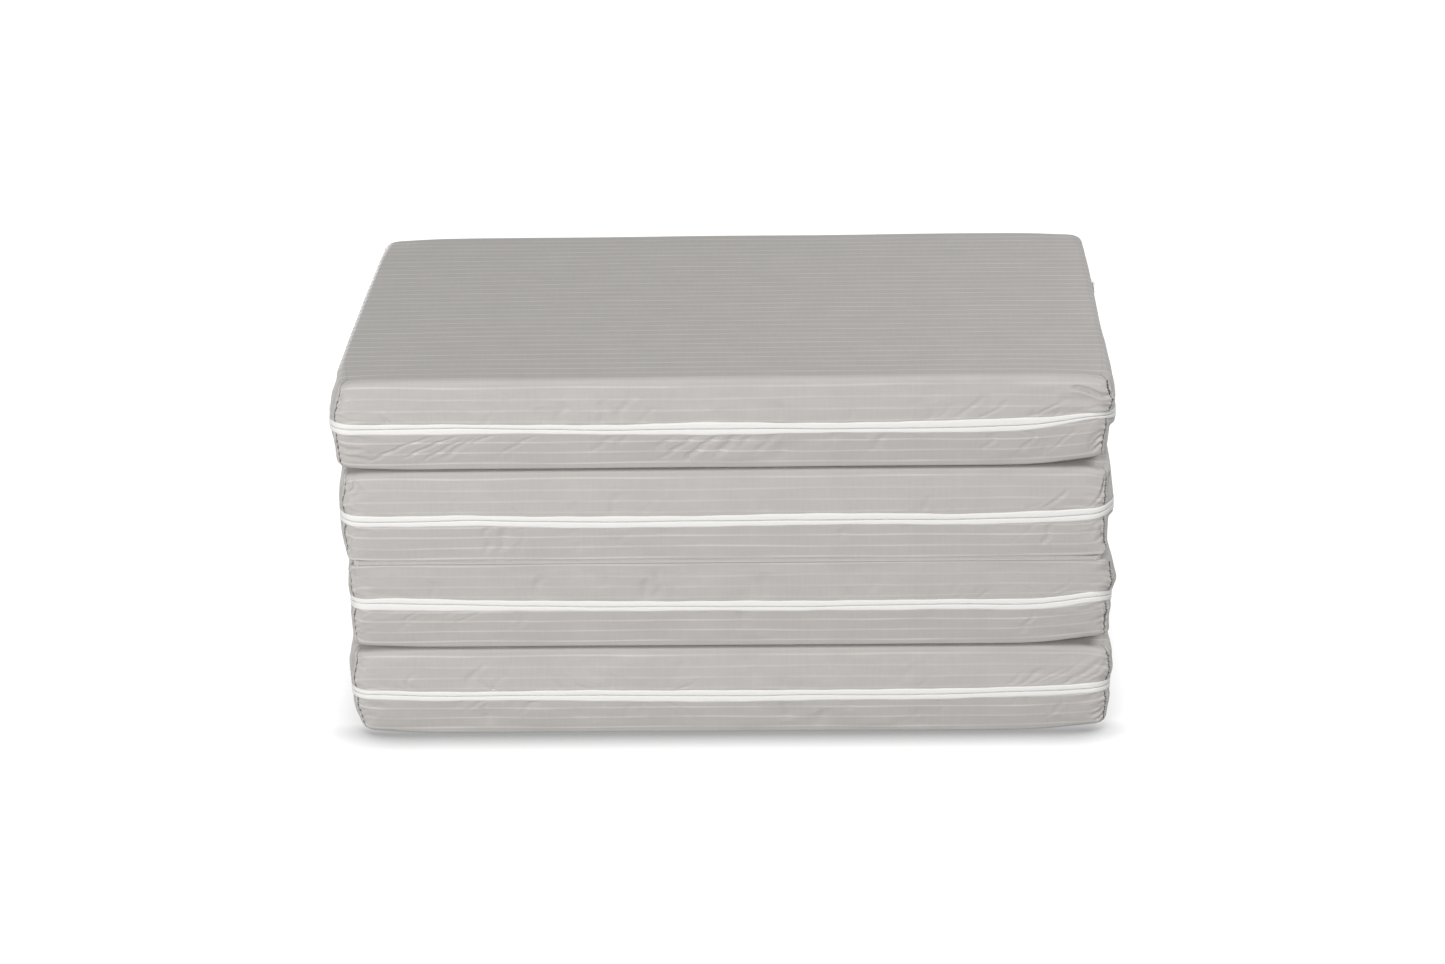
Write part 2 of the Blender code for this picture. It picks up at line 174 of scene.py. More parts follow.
def xyz(x, y, z):
    return np.stack(np.broadcast_arrays(x, y, z), axis=-1)


def unit(vectors):
    return vectors / np.maximum(np.linalg.norm(vectors, axis=-1, keepdims=True), 1e-12)


def joined(*arrays):
    return np.concatenate([np.reshape(array, (-1, 3)) for array in arrays])


def meshFromArrays(name, points, faceGroups):
    # One mesh from a point array and groups of faces of equal corner counts, turned to face outwards.
    points = joined(points)
    volume = 0.0
    for group in faceGroups:
        for corner in range(1, group.shape[1] - 1):
            a, b, c = points[group[:, 0]], points[group[:, corner]], points[group[:, corner + 1]]
            volume += float((np.cross(a, b) * c).sum())
    if volume < 0:
        faceGroups = [group[:, ::-1] for group in faceGroups]
    loops = np.concatenate([group.ravel() for group in faceGroups]).astype(np.int32)
    totals = np.concatenate([np.full(len(group), group.shape[1]) for group in faceGroups])
    starts = np.concatenate(([0], np.cumsum(totals)[:-1])).astype(np.int32)
    mesh = bpy.data.meshes.new(name)
    mesh.vertices.add(len(points))
    mesh.vertices.foreach_set("co", points.astype(np.float32).ravel())
    mesh.loops.add(len(loops))
    mesh.loops.foreach_set("vertex_index", loops)
    mesh.polygons.add(len(totals))
    mesh.polygons.foreach_set("loop_start", starts)
    mesh.update(calc_edges=True)
    mesh.shade_smooth()
    return mesh


def addPiece(name, mesh, material):
    piece = bpy.data.objects.new(name, mesh)
    mesh.materials.append(material)
    bpy.context.scene.collection.objects.link(piece)
    return piece


def addTube(name, rings, material):
    # Rings of points, each joined to the next, with a flat face at both ends.
    count = rings.shape[1]
    here = np.arange(count)[None]
    ends = [here[:, ::-1], here + (len(rings) - 1) * count]
    quads = gridQuads(len(rings), count, closed=True)
    return addPiece(name, meshFromArrays(name, rings, [quads] + ends), material)


def declare(piece, body, node=None):
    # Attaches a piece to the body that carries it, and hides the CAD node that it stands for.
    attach(piece, body)
    if node:
        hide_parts(node)


def storeVectors(mesh, name, *values):
    layer = mesh.attributes.new(name, "FLOAT_VECTOR", "POINT")
    layer.data.foreach_set("vector", joined(*values).astype(np.float32).ravel())


def gridQuads(rows, columns, start=0, closed=False):
    # The quads of a grid of points stored row by row, joined round along its columns if closed.
    row = np.arange(rows - 1)[:, None] * columns + start
    here = np.arange(columns if closed else columns - 1)[None, :]
    after = (here + 1) % columns
    quads = np.stack((row + here, row + after, row + columns + after, row + columns + here), axis=-1)
    return quads.reshape(-1, 4)


# Materials. A wire is a value in a node tree; sums and products of wires add the math nodes that they need.
class Wire:
    def __init__(self, tree, socket):
        self.tree, self.socket = tree, socket

    def math(self, operation, other=None):
        return addNode(self.tree, "Math", {0: self, 1: other}, operation=operation)

    def __add__(self, other):
        return self.math("ADD", other)

    def __sub__(self, other):
        return self.math("SUBTRACT", other)

    def __mul__(self, other):
        return self.math("MULTIPLY", other)

    def __truediv__(self, other):
        return self.math("DIVIDE", other)

    def __abs__(self):
        return self.math("ABSOLUTE")


def feed(target, value):
    if isinstance(value, Wire):
        value.tree.links.new(value.socket, target)
    elif value is not None:
        target.default_value = value


def addNode(tree, kind, inputs, output=0, **settings):
    # Adds a node, feeds its inputs and returns the wire that leaves it.
    node = tree.nodes.new("ShaderNode" + kind)
    for key, value in settings.items():
        setattr(node, key, value)
    for key, value in inputs.items():
        feed(node.inputs[key], value)
    return Wire(tree, node.outputs[output])


def startMaterial(name):
    material = bpy.data.materials.new(name)
    material.use_nodes = True
    tree = material.node_tree
    return material, tree, tree.nodes["Principled BSDF"].inputs


def mapped(wire, low, high, outLow, outHigh, kind="LINEAR"):
    values = (wire, low, high, outLow, outHigh)
    return addNode(wire.tree, "MapRange", dict(enumerate(values)), interpolation_type=kind)


def noise(wire, scale=1.0, detail=2.0, stretch=None):
    if stretch:
        wire = addNode(wire.tree, "VectorMath", {0: wire, 1: stretch}, operation="MULTIPLY")
    return addNode(wire.tree, "TexNoise", {"Vector": wire, "Scale": scale, "Detail": detail, "Roughness": 0.5}, "Fac")


def parts(wire):
    node = wire.tree.nodes.new("ShaderNodeSeparateXYZ")
    feed(node.inputs[0], wire)
    return [Wire(wire.tree, socket) for socket in node.outputs]


def mixed(factor, first, second, kind="RGBA"):
    return addNode(factor.tree, "Mix", {"Factor": factor, "A": first, "B": second}, "Result", data_type=kind)


def scaledColour(colour, factor):
    return addNode(factor.tree, "VectorMath", {0: colour, "Scale": factor}, operation="SCALE")


def bump(surface, height, distance):
    feed(surface["Normal"], addNode(height.tree, "Bump", {"Strength": 1.0, "Distance": distance, "Height": height}))


def attribute(tree, name):
    return addNode(tree, "Attribute", {}, "Vector", attribute_name=name)


def objectPlace(tree):
    return addNode(tree, "TexCoord", {}, "Object")


# Cover cloth: a plain grey weave with thin satin lines across the mattress
cloth = {
    "grey": (0.500, 0.478, 0.458, 1.0),
    "line": (0.625, 0.604, 0.583, 1.0),
    "linePitch": 0.0137, "lineWidth": 0.0021, "lineEdge": 0.0013,
    "lineCentres": (0.25, 0.745),  # shares of two pitches
    "lineStrengths": (1.0, 0.90),  # every other line is a little weaker
    "wander": 0.0040,  # how far a line strays
    "fading": (0.35, 1.0),  # a line's strength where it fades most and least
    "tones": (0.016, 0.018, 0.024),  # of the warp streaks, the weft streaks and the blotches
    # How fast each grain changes along and across the lines
    "wanderGrain": (8.0, 26.0, 1.0), "fadeGrain": (9.0, 60.0, 1.0), "warpGrain": (290.0, 34.0, 1.0),
    "weftGrain": (26.0, 620.0, 1.0), "weaveGrain": (420.0, 900.0, 1.0), "blotchGrain": 22.0,
    "weaveDepth": 0.00012, "sheen": 0.12, "sheenRoughness": 0.5,
    "seamPaintedShade": 0.52,  # painted shade: how dark the colour is painted in the groove of a corner seam
    "roughness": 0.72, "lineRoughness": 0.50,
}


def makeClothMaterial():
    # Reads the cloth's own two coordinates: x runs along the lines and y across them. A seam at each corner parts the
    # front and back walls' coordinates from the short sides'. Their third values place the painted shade in the corner
    # seams' grooves and say how much of the lines' painted sheen a wall keeps.
    material, tree, surface = startMaterial("coverCloth")
    frontPlace, sidePlace = attribute(tree, "clothFront"), attribute(tree, "clothSide")
    seamShare, paintedLineSheen = parts(frontPlace)[2], parts(sidePlace)[2]
    along, across, _ = parts(mixed(seamShare.math("GREATER_THAN", 0.5), sidePlace, frontPlace, "VECTOR"))
    flat = addNode(tree, "CombineXYZ", {0: along, 1: across})

    pitches = 2 * cloth["linePitch"]
    across = across + (noise(flat, detail=1.0, stretch=cloth["wanderGrain"]) - 0.5) * cloth["wander"]
    turned = (across / pitches).math("FRACT")
    inner, outer = [(cloth["lineWidth"] + way * cloth["lineEdge"]) / 2 for way in (-1, 1)]
    first, second = [mapped(abs(turned - centre) * pitches, inner, outer, strength, 0.0, "SMOOTHSTEP")
                     for centre, strength in zip(cloth["lineCentres"], cloth["lineStrengths"])]
    lines = first.math("MAXIMUM", second)
    fade = noise(flat, stretch=cloth["fadeGrain"])
    patchy = lines * mapped(fade, 0.32, 0.62, *cloth["fading"])
    # painted sheen: how strongly the lines show is set per wall by how the satin catches the light
    colour = mixed(patchy * paintedLineSheen, cloth["grey"], cloth["line"])

    warp, weft, weave = [noise(flat, stretch=cloth[key]) for key in ("warpGrain", "weftGrain", "weaveGrain")]
    blotch = noise(flat, cloth["blotchGrain"], 3.0)
    streaks, bands, blotches = [mapped(wire, 0.3, 0.7, -tone, tone)
                                for wire, tone in zip((warp, weft, blotch), cloth["tones"])]
    # painted shade: the colour is darkened along each corner seam's groove, where shade falls
    paintedSeamShade = mapped(abs(seamShare - 0.5), 0.02, 0.075, cloth["seamPaintedShade"], 1.0, "SMOOTHSTEP")
    feed(surface["Base Color"], scaledColour(colour, (streaks + (bands + blotches) + 1.0) * paintedSeamShade))
    feed(surface["Roughness"], mapped(lines, 0.0, 1.0, cloth["roughness"], cloth["lineRoughness"]))
    feed(surface["Sheen Weight"], cloth["sheen"])
    feed(surface["Sheen Roughness"], cloth["sheenRoughness"])
    bump(surface, weave * 0.6 + (lines * 0.5 + warp * 0.5), cloth["weaveDepth"])
    return material


def makeTapeMaterial():
    # White zip tape. Its own coordinate: x along the zip, y across the tape.
    material, tree, surface = startMaterial("zipTape")
    place = attribute(tree, "tapePlace")
    ribs, knit = [noise(place, detail=1.0, stretch=stretch) for stretch in ((40.0, 1700.0, 1.0), (900.0, 1400.0, 1.0))]
    tone = mapped(ribs, 0.3, 0.7, 0.965, 1.0) + mapped(knit, 0.3, 0.7, -0.01, 0.01)
    feed(surface["Base Color"], scaledColour((0.880, 0.872, 0.850), tone))
    feed(surface["Roughness"], 0.62)
    bump(surface, ribs + knit, 0.00008)
    return material


def makePlainMaterial(name, colour, roughness, grainScale, grainTone, bumpDepth, metallic=0.0):
    # A colour with a soft grain in its tone, roughness and relief, placed by the object's own coordinates.
    material, tree, surface = startMaterial(name)
    place = objectPlace(tree)
    grain, cloud = noise(place, grainScale, 3.0), noise(place, grainScale / 9, 2.0)
    tone = mapped(grain, 0.25, 0.75, 1 - grainTone, 1 + grainTone) + mapped(cloud, 0.25, 0.75, -grainTone, grainTone)
    feed(surface["Base Color"], scaledColour(colour, tone))
    feed(surface["Roughness"], mapped(cloud, 0.2, 0.8, roughness * 0.85, roughness * 1.15))
    feed(surface["Metallic"], metallic)
    bump(surface, grain, bumpDepth)
    return material


clothMaterial = makeClothMaterial()
tapeMaterial = makeTapeMaterial()
coilMaterial = makePlainMaterial("zipCoil", (0.80, 0.80, 0.78), 0.42, 900.0, 0.03, 0.00002)
foamMaterial = makePlainMaterial("foam", (0.86, 0.83, 0.72), 0.95, 700.0, 0.10, 0.0006)
# dark thread, painted near black so that the stitches also stand in for the shade in their needle holes
threadAndShadeMaterial = makePlainMaterial("seamThreadAndShade", (0.075, 0.074, 0.072), 0.80, 1500.0, 0.15, 0.00005)
bindingMaterial = makePlainMaterial("foldBinding", (0.545, 0.525, 0.505), 0.78, 800.0, 0.04, 0.00012)
metalMaterial = makePlainMaterial("sliderMetal", (0.70, 0.70, 0.71), 0.30, 500.0, 0.04, 0.00001, 1.0)
print("materials made")


# The way round a panel, as seen from above
outlineSteps = {
    "columns": 300,  # points along the front and the back
    "crowding": 0.35,  # how much closer together they come at both ends
    "rows": 96,  # along each short side
    "corner": 24,  # round each corner, closest together at its seam
}


def columnPlaces():
    # Even steps, less a share of a sine wave: closer together towards both ends.
    even = np.linspace(-1, 1, outlineSteps["columns"] + 1)
    return even + outlineSteps["crowding"] * np.sin(pi * even) / pi


def walkRound():
    # Anticlockwise from the left end of the front. across and deep place a point along its side, from -1 to 1,
    # turn is the direction that its wall faces, and place is its distance along the zip from the front's middle.
    columns = columnPlaces()
    rows = np.linspace(-1, 1, outlineSteps["rows"] + 1)
    spread = np.linspace(-1, 1, outlineSteps["corner"] + 1)[1:-1]
    bend = 0.5 + 0.25 * spread + 0.25 * spread ** 3
    one = np.ones_like
    legs = [
        (columns, -one(columns), -90 + 0 * columns), (one(bend), -one(bend), -90 + 90 * bend),
        (one(rows), rows, 0 * rows), (one(bend), one(bend), 90 * bend),
        (columns[::-1], one(columns), 90 + 0 * columns), (-one(bend), one(bend), 90 + 90 * bend),
        (-one(rows), rows[::-1], 180 + 0 * rows), (-one(bend), -one(bend), 180 + 90 * bend),
    ]
    across, deep, turn = [np.concatenate(part) for part in zip(*legs)]
    walk = {"across": across, "deep": deep, "turn": np.radians(turn)}
    x, y = outline(walk, 0.0)
    steps = np.hypot(np.diff(x, append=x[0]), np.diff(y, append=y[0]))
    place = np.concatenate(([0], np.cumsum(steps)[:-1]))
    place -= np.interp(0.0, across[:len(columns)], place[:len(columns)])
    walk["length"] = steps.sum()
    walk["place"] = (place + walk["length"] / 2) % walk["length"] - walk["length"] / 2
    onSides = np.cos(walk["turn"]) ** 2 > 0.5
    straight = np.where(onSides, (1 - np.abs(deep)) * (stack["halfDepth"] - stack["zipCornerRadius"]),
                        (1 - np.abs(across)) * (stack["halfWidth"] - stack["zipCornerRadius"]))
    walk["fromCorner"] = np.where(np.abs(np.sin(2 * walk["turn"])) > 1e-6, 0.0, straight)
    return walk


def outline(walk, inset, sharper=0.0):
    # A rounded rectangle, drawn in by inset: its corner radius shrinks with it, down to the faces' own.
    radius = np.maximum(stack["zipCornerRadius"] - inset - sharper, stack["edgeCornerRadius"])
    x = walk["across"] * (stack["halfWidth"] - inset - radius) + radius * np.cos(walk["turn"])
    y = walk["deep"] * (stack["halfDepth"] - inset - radius) + radius * np.sin(walk["turn"])
    return x, y


def zipPlay(panel):
    # How open the hems are for the zip (1, and 0 at the back), and the heights of both hems and the fine line.
    _, y = outline(walk, 0.0)
    opened = 1 - smooth((y - stack["zipEndDepth"]) / (stack["hemEndDepth"] - stack["zipEndDepth"]))
    heights = []
    hemEnds = (sideHem, sliderHem, zipEnds["shutHem"])
    for key, (left, right, shut) in (("upperHem", hemEnds), ("lowerHem", hemEnds), ("line", (0, 0, 0.0))):
        values = panel[key]
        past = values[-1] + zipEnds["climb"] * (values[-1] - values[-2])
        places = zipEnds["left"] + [place * mm for place in zipPlaces] + zipEnds["right"]
        curve = softCurve(list(zip(places, [left, left] + values + [past, right, right])), walk["place"])
        heights.append(opened * curve * mm + (1 - opened) * shut)
    return [opened] + heights


# How the front corners' sideways pull fades, in places along the zip. An end's begin and reach have two numbers: at
# the zip's height, and how much more they are well above or below it. On the right the pull is over before the
# sliders' way begins.
pullFade = {
    "frontBegin": 0.29, "frontReach": 0.09, "roundBegin": 0.411,
    "left": {"begin": (0.417, 0.0), "reach": (0.26, 0.0), "roundReach": 0.044},
    "right": {"begin": (0.408, 0.009), "reach": (0.0125, 0.0915), "roundReach": 0.014},
}


def cornerPull(walk, panel, height):
    # How far the front corners stand in, sideways, for a height above the panel's middle plane.
    place = walk["place"]
    pull = np.zeros(np.broadcast(height, place).shape)
    aboveZip = smooth((np.abs(height) / mm - 9) / 12)
    for side, sign in (("left", 1), ("right", -1)):
        depth = np.interp(height / mm, pullHeights, panel[side + "Pull"]) * mm
        away = -sign * place
        begin, reach = [low + more * aboveZip for low, more in (pullFade[side]["begin"], pullFade[side]["reach"])]
        frontFade = smooth((away - pullFade["frontBegin"]) / pullFade["frontReach"])
        sideFade = 1 - smooth((away - begin) / reach)
        rounding = 1 - smooth((away - pullFade["roundBegin"]) / pullFade[side]["roundReach"])
        pull = pull + sign * frontFade * (depth * sideFade + panel[side + "Round"] * mm * rounding) * (away > 0)
    return pull


walk = walkRound()
pointCount = len(walk["turn"])
seamPoints = [number for number in range(pointCount)
              if abs(abs(np.degrees(walk["turn"][number]) % 90) - 45) < 1e-6]
print("outline of", pointCount, "points,", round(walk["length"], 4), "long, seams at", seamPoints)


stitches = {
    "cornerRun": (0.0035, 0.0315),  # heights above the hem
    "cornerPitch": 0.0031, "cornerLength": 0.0019, "thickness": 0.0013, "lift": 0.0004,
    "crossAngles": (15.0, 75.0, 135.0),  # of the last three, in degrees from the seam
    "crossLift": 0.0005, "crossReach": 0.0009,
    "foldPitch": 0.0024, "foldLength": 0.0016, "foldThickness": 0.0006,
}
# rings: which of a cover half's wall rings the foam follows, and columnStep: every how many of their points
foam = {"clearance": 0.0030, "cornerClearance": 0.0030, "rings": [24, 30, 38, 45, 48, 51], "columnStep": 4}

# Cover halves
cover = {
    "bulge": 0.0050,  # how far the zip stands out past the edges
    "sewnBulge": 0.0011,
    "freeEdgeRadius": 0.0068, "freeCornerRadius": 0.0105,  # rounding of an edge, at its middle and at a corner
    "restEdgeRadius": 0.0034, "restCornerRadius": 0.0068,  # the same where it rests on the next panel's
    "sewnEdgeRadius": 0.0020,
    "edgeDrop": 0.0008,  # from the flat of a face down to its edges
    "crownInset": 0.130,
    "sewnCrown": 0.3,  # the crown's share at a sewn edge
    "dropInset": 0.014, "cornerDropReach": 0.048, "tipDropReach": 0.013, "backDropReach": 0.030,
    "backDrop": 1.5, "sewnBackDrop": 0.4,  # of the back corners, in millimetres
    "hemRoll": ((1.6, 0.9), (1.05, 0.2), (0.6, 0.0), (0.33, 0.4)),  # inset and height above the hem, in millimetres
    "hemRipple": 0.00018, "hemRipples": (21, 47),  # depth, and counts round the panel
    "leanHeight": 0.034, "cornerReach": 0.045,
    "wallCurve": 1.25,  # the power of its height with which a wall's inset grows
    "ringCrowding": 1.15,  # above 1: the wall's rings are closer together near the hem
    "narrowing": (1.0, 2.5),  # how far a narrowing half's short sides lean in at the front, in millimetres, and how
    "narrowHeight": 0.036,  # much further at the back; over what height; and inside what distance from the middle
    "narrowWidth": 0.38,  # it is less
    "cornerSharper": 0.007,  # the walls' corners are this much tighter than the zip's own
    "wallRings": 42, "arcRings": 9, "faceRings": 5,
    "faceInset": 0.025,  # the rings end here, and the face's grid starts at faceInset + edgeCornerRadius
    "faceSharper": 0.013, "sewnSharper": 0.006,
    "lineCrowding": 1.12,  # the walls' cloth is cut a little fuller than the wall
    "fading": {"upper": 0.60, "lower": 0.0},  # painted sheen: how much fainter the lines are painted on a wall than on a face, as the satin catches less light there
    "liningDepth": 0.0012, "linedRings": [14, 28],
    "topWave": 0.0005, "faceWave": 0.00025, "faceWaves": 6,
}


def faceDrop(x, y, panel, half):
    # How far a face lies below its flat middle: a shallow crown towards each edge, and drooping front corners.
    fold = panel["folds"][half]
    halfWidth, halfDepth = stack["halfWidth"], stack["halfDepth"]
    keep = 1.0
    for inset, side in ((halfWidth - np.abs(x), "side"), (halfDepth + y, "front"), (halfDepth - y, "back")):
        share = cover["sewnCrown"] if fold == side else 1.0
        keep = keep * (1 - share * (1 - smooth((inset - 0.008) / cover["crownInset"])))
    drop = cover["edgeDrop"] * (1 - keep)
    back = cover["sewnBackDrop"] if fold == "back" else cover["backDrop"]
    for sign, broad, tip in zip((-1, 1), panel["drop"][half], panel["tip"][half]):
        past = np.maximum(halfWidth - cover["dropInset"] - sign * x, 0)
        away = np.hypot(past, np.maximum(halfDepth - cover["dropInset"] + y, 0))
        drop = drop + broad * mm * bell(away, cover["cornerDropReach"])
        drop = drop + tip * mm * bell(away, cover["tipDropReach"])
        away = np.hypot(past, np.maximum(halfDepth - cover["dropInset"] - y, 0))
        drop = drop + back * mm * bell(away, cover["backDropReach"])
    return drop


def cornerSharpness(panel, half, above):
    # How much tighter the corners are than the zip's own, for a height above the hem.
    sharper = cover["cornerSharper"] * smooth(above / 0.012)
    fold = panel["folds"][half]
    if fold:
        near = smooth(np.sin(walk["turn"]) * sides[fold] * 4 + 1)
        sharper = sharper + cover["sewnSharper"] * near * smooth((above - 0.022) / 0.018)
    return sharper


def coverProfile(panel, half):
    # Inset and height of every ring: a rolled hem, a wall that leans in, a round edge and the rim of the face.
    fold, kind = panel["folds"][half], "rest" if half in panel["rests"] else "free"
    bulge = np.full(pointCount, cover["bulge"])
    middle, corner = cover[kind + "EdgeRadius"], cover[kind + "CornerRadius"]
    radius = middle + (corner - middle) * bell(walk["fromCorner"], cover["cornerReach"])
    if fold:
        share = np.clip(sides[fold] * np.sin(walk["turn"]), 0, 1) ** 2
        bulge = bulge + (cover["sewnBulge"] - bulge) * share
        radius = radius + (cover["sewnEdgeRadius"] - radius) * share
    opened, upperHem, lowerHem, _ = zipPlay(panel)
    ripple = cover["hemRipple"] * sum(np.sin(2 * pi * count * walk["place"] / walk["length"] + number * panel["seed"])
                                      for number, count in enumerate(cover["hemRipples"], 1))
    hem = (upperHem if half == "upper" else lowerHem) + ripple * opened
    lean = np.arctan(cover["wallCurve"] * bulge / cover["leanHeight"])
    edgeInset = bulge + radius * np.cos(lean)

    def faceHeight(inset):
        x, y = outline(walk, inset, cover["faceSharper"])
        return stack["halfThickness"] - faceDrop(x, y, panel, half)

    wallTop = faceHeight(edgeInset) - radius * (1 - np.sin(lean))
    insets = [np.full(pointCount, inset * mm) for inset, _ in cover["hemRoll"]]
    heights = [hem + height * mm for _, height in cover["hemRoll"]]
    first, start = insets[-1], heights[-1]
    for step in range(1, cover["wallRings"] + 1):
        share = (step / cover["wallRings"]) ** cover["ringCrowding"]
        insets.append(first + (bulge - first) * share ** cover["wallCurve"])
        heights.append(start + (wallTop - start) * share)
    for step in range(1, cover["arcRings"] + 1):
        angle = lean + (pi / 2 - lean) * step / cover["arcRings"]
        insets.append(bulge + radius * (np.cos(lean) - np.cos(angle)))
        heights.append(wallTop + radius * (np.sin(angle) - np.sin(lean)))
    arcEnd = len(insets) - 1
    for step in range(1, cover["faceRings"] + 1):
        insets.append(edgeInset + (cover["faceInset"] - edgeInset) * step / cover["faceRings"])
        heights.append(faceHeight(insets[-1]))
    return np.array(insets), np.array(heights), hem, arcEnd


def gridAndRim():
    # The face's grid of columns and rows, and for every point of the way round, its partner on the grid's rim.
    columns, rows, corner = outlineSteps["columns"], outlineSteps["rows"], outlineSteps["corner"] - 1
    inset = cover["faceInset"] + stack["edgeCornerRadius"]
    x = columnPlaces() * (stack["halfWidth"] - inset)
    y = np.linspace(-1, 1, rows + 1) * (stack["halfDepth"] - inset)
    gridX, gridY = np.meshgrid(x, y)
    number = np.arange((rows + 1) * (columns + 1)).reshape(rows + 1, columns + 1)
    rim = np.concatenate([
        number[0], np.full(corner, number[0, -1]), number[:, -1], np.full(corner, number[-1, -1]),
        number[-1, ::-1], np.full(corner, number[-1, 0]), number[::-1, 0], np.full(corner, number[0, 0])])
    return gridX, gridY, rim


# Folds and puckers, in millimetres
creases = {
    "broadWaves": 8, "broadDepth": 0.95,
    "waveCounts": (9, 40), "waveSlants": (-0.8, 0.8), "waveSizes": (0.4, 1.0),  # drawn at random in these ranges
    "bends": ((1.8, 5.0, 13.0, 0), (1.1, 2.9, -7.0, 2)),  # how all puckers bend: size, waves up and along, phase
    "random": 60, "randomDepth": 0.85,  # short puckers spread along each hem
    "slantSpread": 0.8, "reaches": (5, 16), "widths": (3.2, 6.5), "depths": (0.3, 1.2),  # of a short pucker
    # Beside the corner seams, each with its depth and its reach from the seam: level folds (with the distance
    # where they begin), the seam's ridge and groove, and the cloth between two stitches
    "levelFolds": (0.70, 7.0, 0.8), "levelPitches": (6.5, 9.0),
    "seamRidge": (0.75, 3.0), "seamGroove": (0.90, 0.75), "seamRipple": (0.38, 2.2),
    "plainStar": (33.0, 1.2, 4, 0.8),  # the pucker of a corner that isn't listed in stars
    "starReach": 1.8, "armReach": 5.5, "armShare": 0.45,
}
# place along the front, height above the hem, lean, length, width and depth
placedCreases = {
    ("top_panel", "lower"): [
        (-340, 22, -2, 16, 4, 0.9), (-318, 12, -2.4, 16, 4, 1.2), (-296, 14, -2, 18, 4.5, 1.5),
        (-280, 18, -1.6, 18, 4, 1.2), (-262, 15, -1.3, 18, 5, 1.1), (-246, 9, -1.6, 12, 3, 1),
        (-205, 12, -1.4, 18, 4, 0.9), (-120, 10, -0.9, 16, 6, 0.8), (-58, 9, -1.2, 14, 3.6, 1.2),
        (-40, 12, -1.2, 24, 4.5, 1.8), (-20, 15, -1.1, 26, 5, 2.1), (6, 12, -1, 22, 5, 1.7),
        (24, 8, -1, 12, 3.4, 1.1), (44, 11, -0.8, 20, 6, 1.1), (110, 10, -0.6, 14, 5, 0.7),
        (160, 10, -0.8, 16, 6, 0.9), (270, 10, -1, 16, 5, 0.8), (310, 14, -1.1, 18, 5, 0.7),
        (345, 16, -1.4, 18, 4, 0.6)],
    ("top_panel", "upper"): [
        (-180, 10, 0.2, 14, 5, 0.8), (-160, 12, 0.2, 20, 6, 0.9), (-118, 13, 0.4, 22, 5, 1.3),
        (-95, 20, 0.5, 24, 6, 1.1), (-74, 9, 0.5, 12, 3.6, 1), (0, 8, 0.2, 10, 4, 0.6), (60, 12, -0.3, 18, 6, 0.7),
        (130, 9, 0.2, 12, 4, 0.7), (225, 9, 0.8, 12, 4, 0.9), (250, 12, 0.9, 18, 5, 1.1), (275, 10, 1, 16, 5, 0.9),
        (330, 9, 1.2, 14, 5, 0.8), (-300, 9, -0.4, 12, 5, 0.7), (-255, 8, -0.3, 10, 4, 0.7)],
    ("upper_middle_panel", "upper"): [
        (-270, 9, 0.2, 12, 4, 0.7), (-150, 9, 0.1, 12, 5, 0.7), (-110, 12, 0.3, 18, 5, 0.9),
        (40, 10, 0.1, 14, 5, 0.7), (205, 9, 0.4, 14, 4, 0.9), (340, 12, 0.8, 18, 5, 1)],
    ("upper_middle_panel", "lower"): [
        (-240, 20, 0, 36, 4.5, 0.9), (-225, 16, 0, 30, 5, 1.1), (-205, 18, 0, 30, 5, 0.9),
        (-150, 14, 0.2, 24, 6, 0.7), (-60, 9, 0, 12, 4, 0.6), (120, 9, -0.2, 12, 4, 0.7),
        (330, 14, -0.8, 20, 5, 1.1)],
    ("lower_middle_panel", "upper"): [
        (-300, 12, 0.2, 18, 5, 0.7), (-190, 14, 0.2, 24, 6, 0.9), (-80, 22, 0, 40, 5, 1.3),
        (-66, 24, 0.1, 40, 5, 1.1), (-52, 18, 0.1, 30, 4, 0.7), (40, 16, 0.1, 24, 6, 0.8),
        (150, 10, 0.2, 14, 5, 0.7), (236, 12, 0.1, 16, 6, 0.5), (345, 12, 0.9, 16, 5, 0.5)],
    ("lower_middle_panel", "lower"): [
        (-330, 12, -0.6, 18, 5, 0.7), (-210, 12, -0.2, 18, 6, 0.6), (20, 10, -0.2, 16, 6, 0.6),
        (310, 16, -0.8, 22, 5, 0.9)],
    ("bottom_panel", "upper"): [
        (-330, 12, 0.2, 16, 5, 0.8), (-260, 18, 0.6, 22, 6, 1), (-120, 10, 0.2, 14, 5, 0.7),
        (60, 9, 0.2, 12, 5, 0.6), (205, 9, 0.7, 12, 4, 0.5), (298, 9, 0.9, 12, 4, 0.7),
        (314, 11, 0.9, 16, 4.5, 0.9), (330, 10, 1.2, 14, 4, 0.6), (346, 14, 1.5, 18, 4, 0.4)],
    ("bottom_panel", "lower"): [
        (-250, 16, 0.1, 26, 6, 0.9), (-100, 10, 0, 14, 6, 0.6), (62, 12, 0.1, 20, 6, 0.8),
        (96, 13, 0.1, 22, 6, 0.8), (124, 11, 0, 16, 6, 0.6), (340, 14, -1, 20, 5, 0.6)],
}
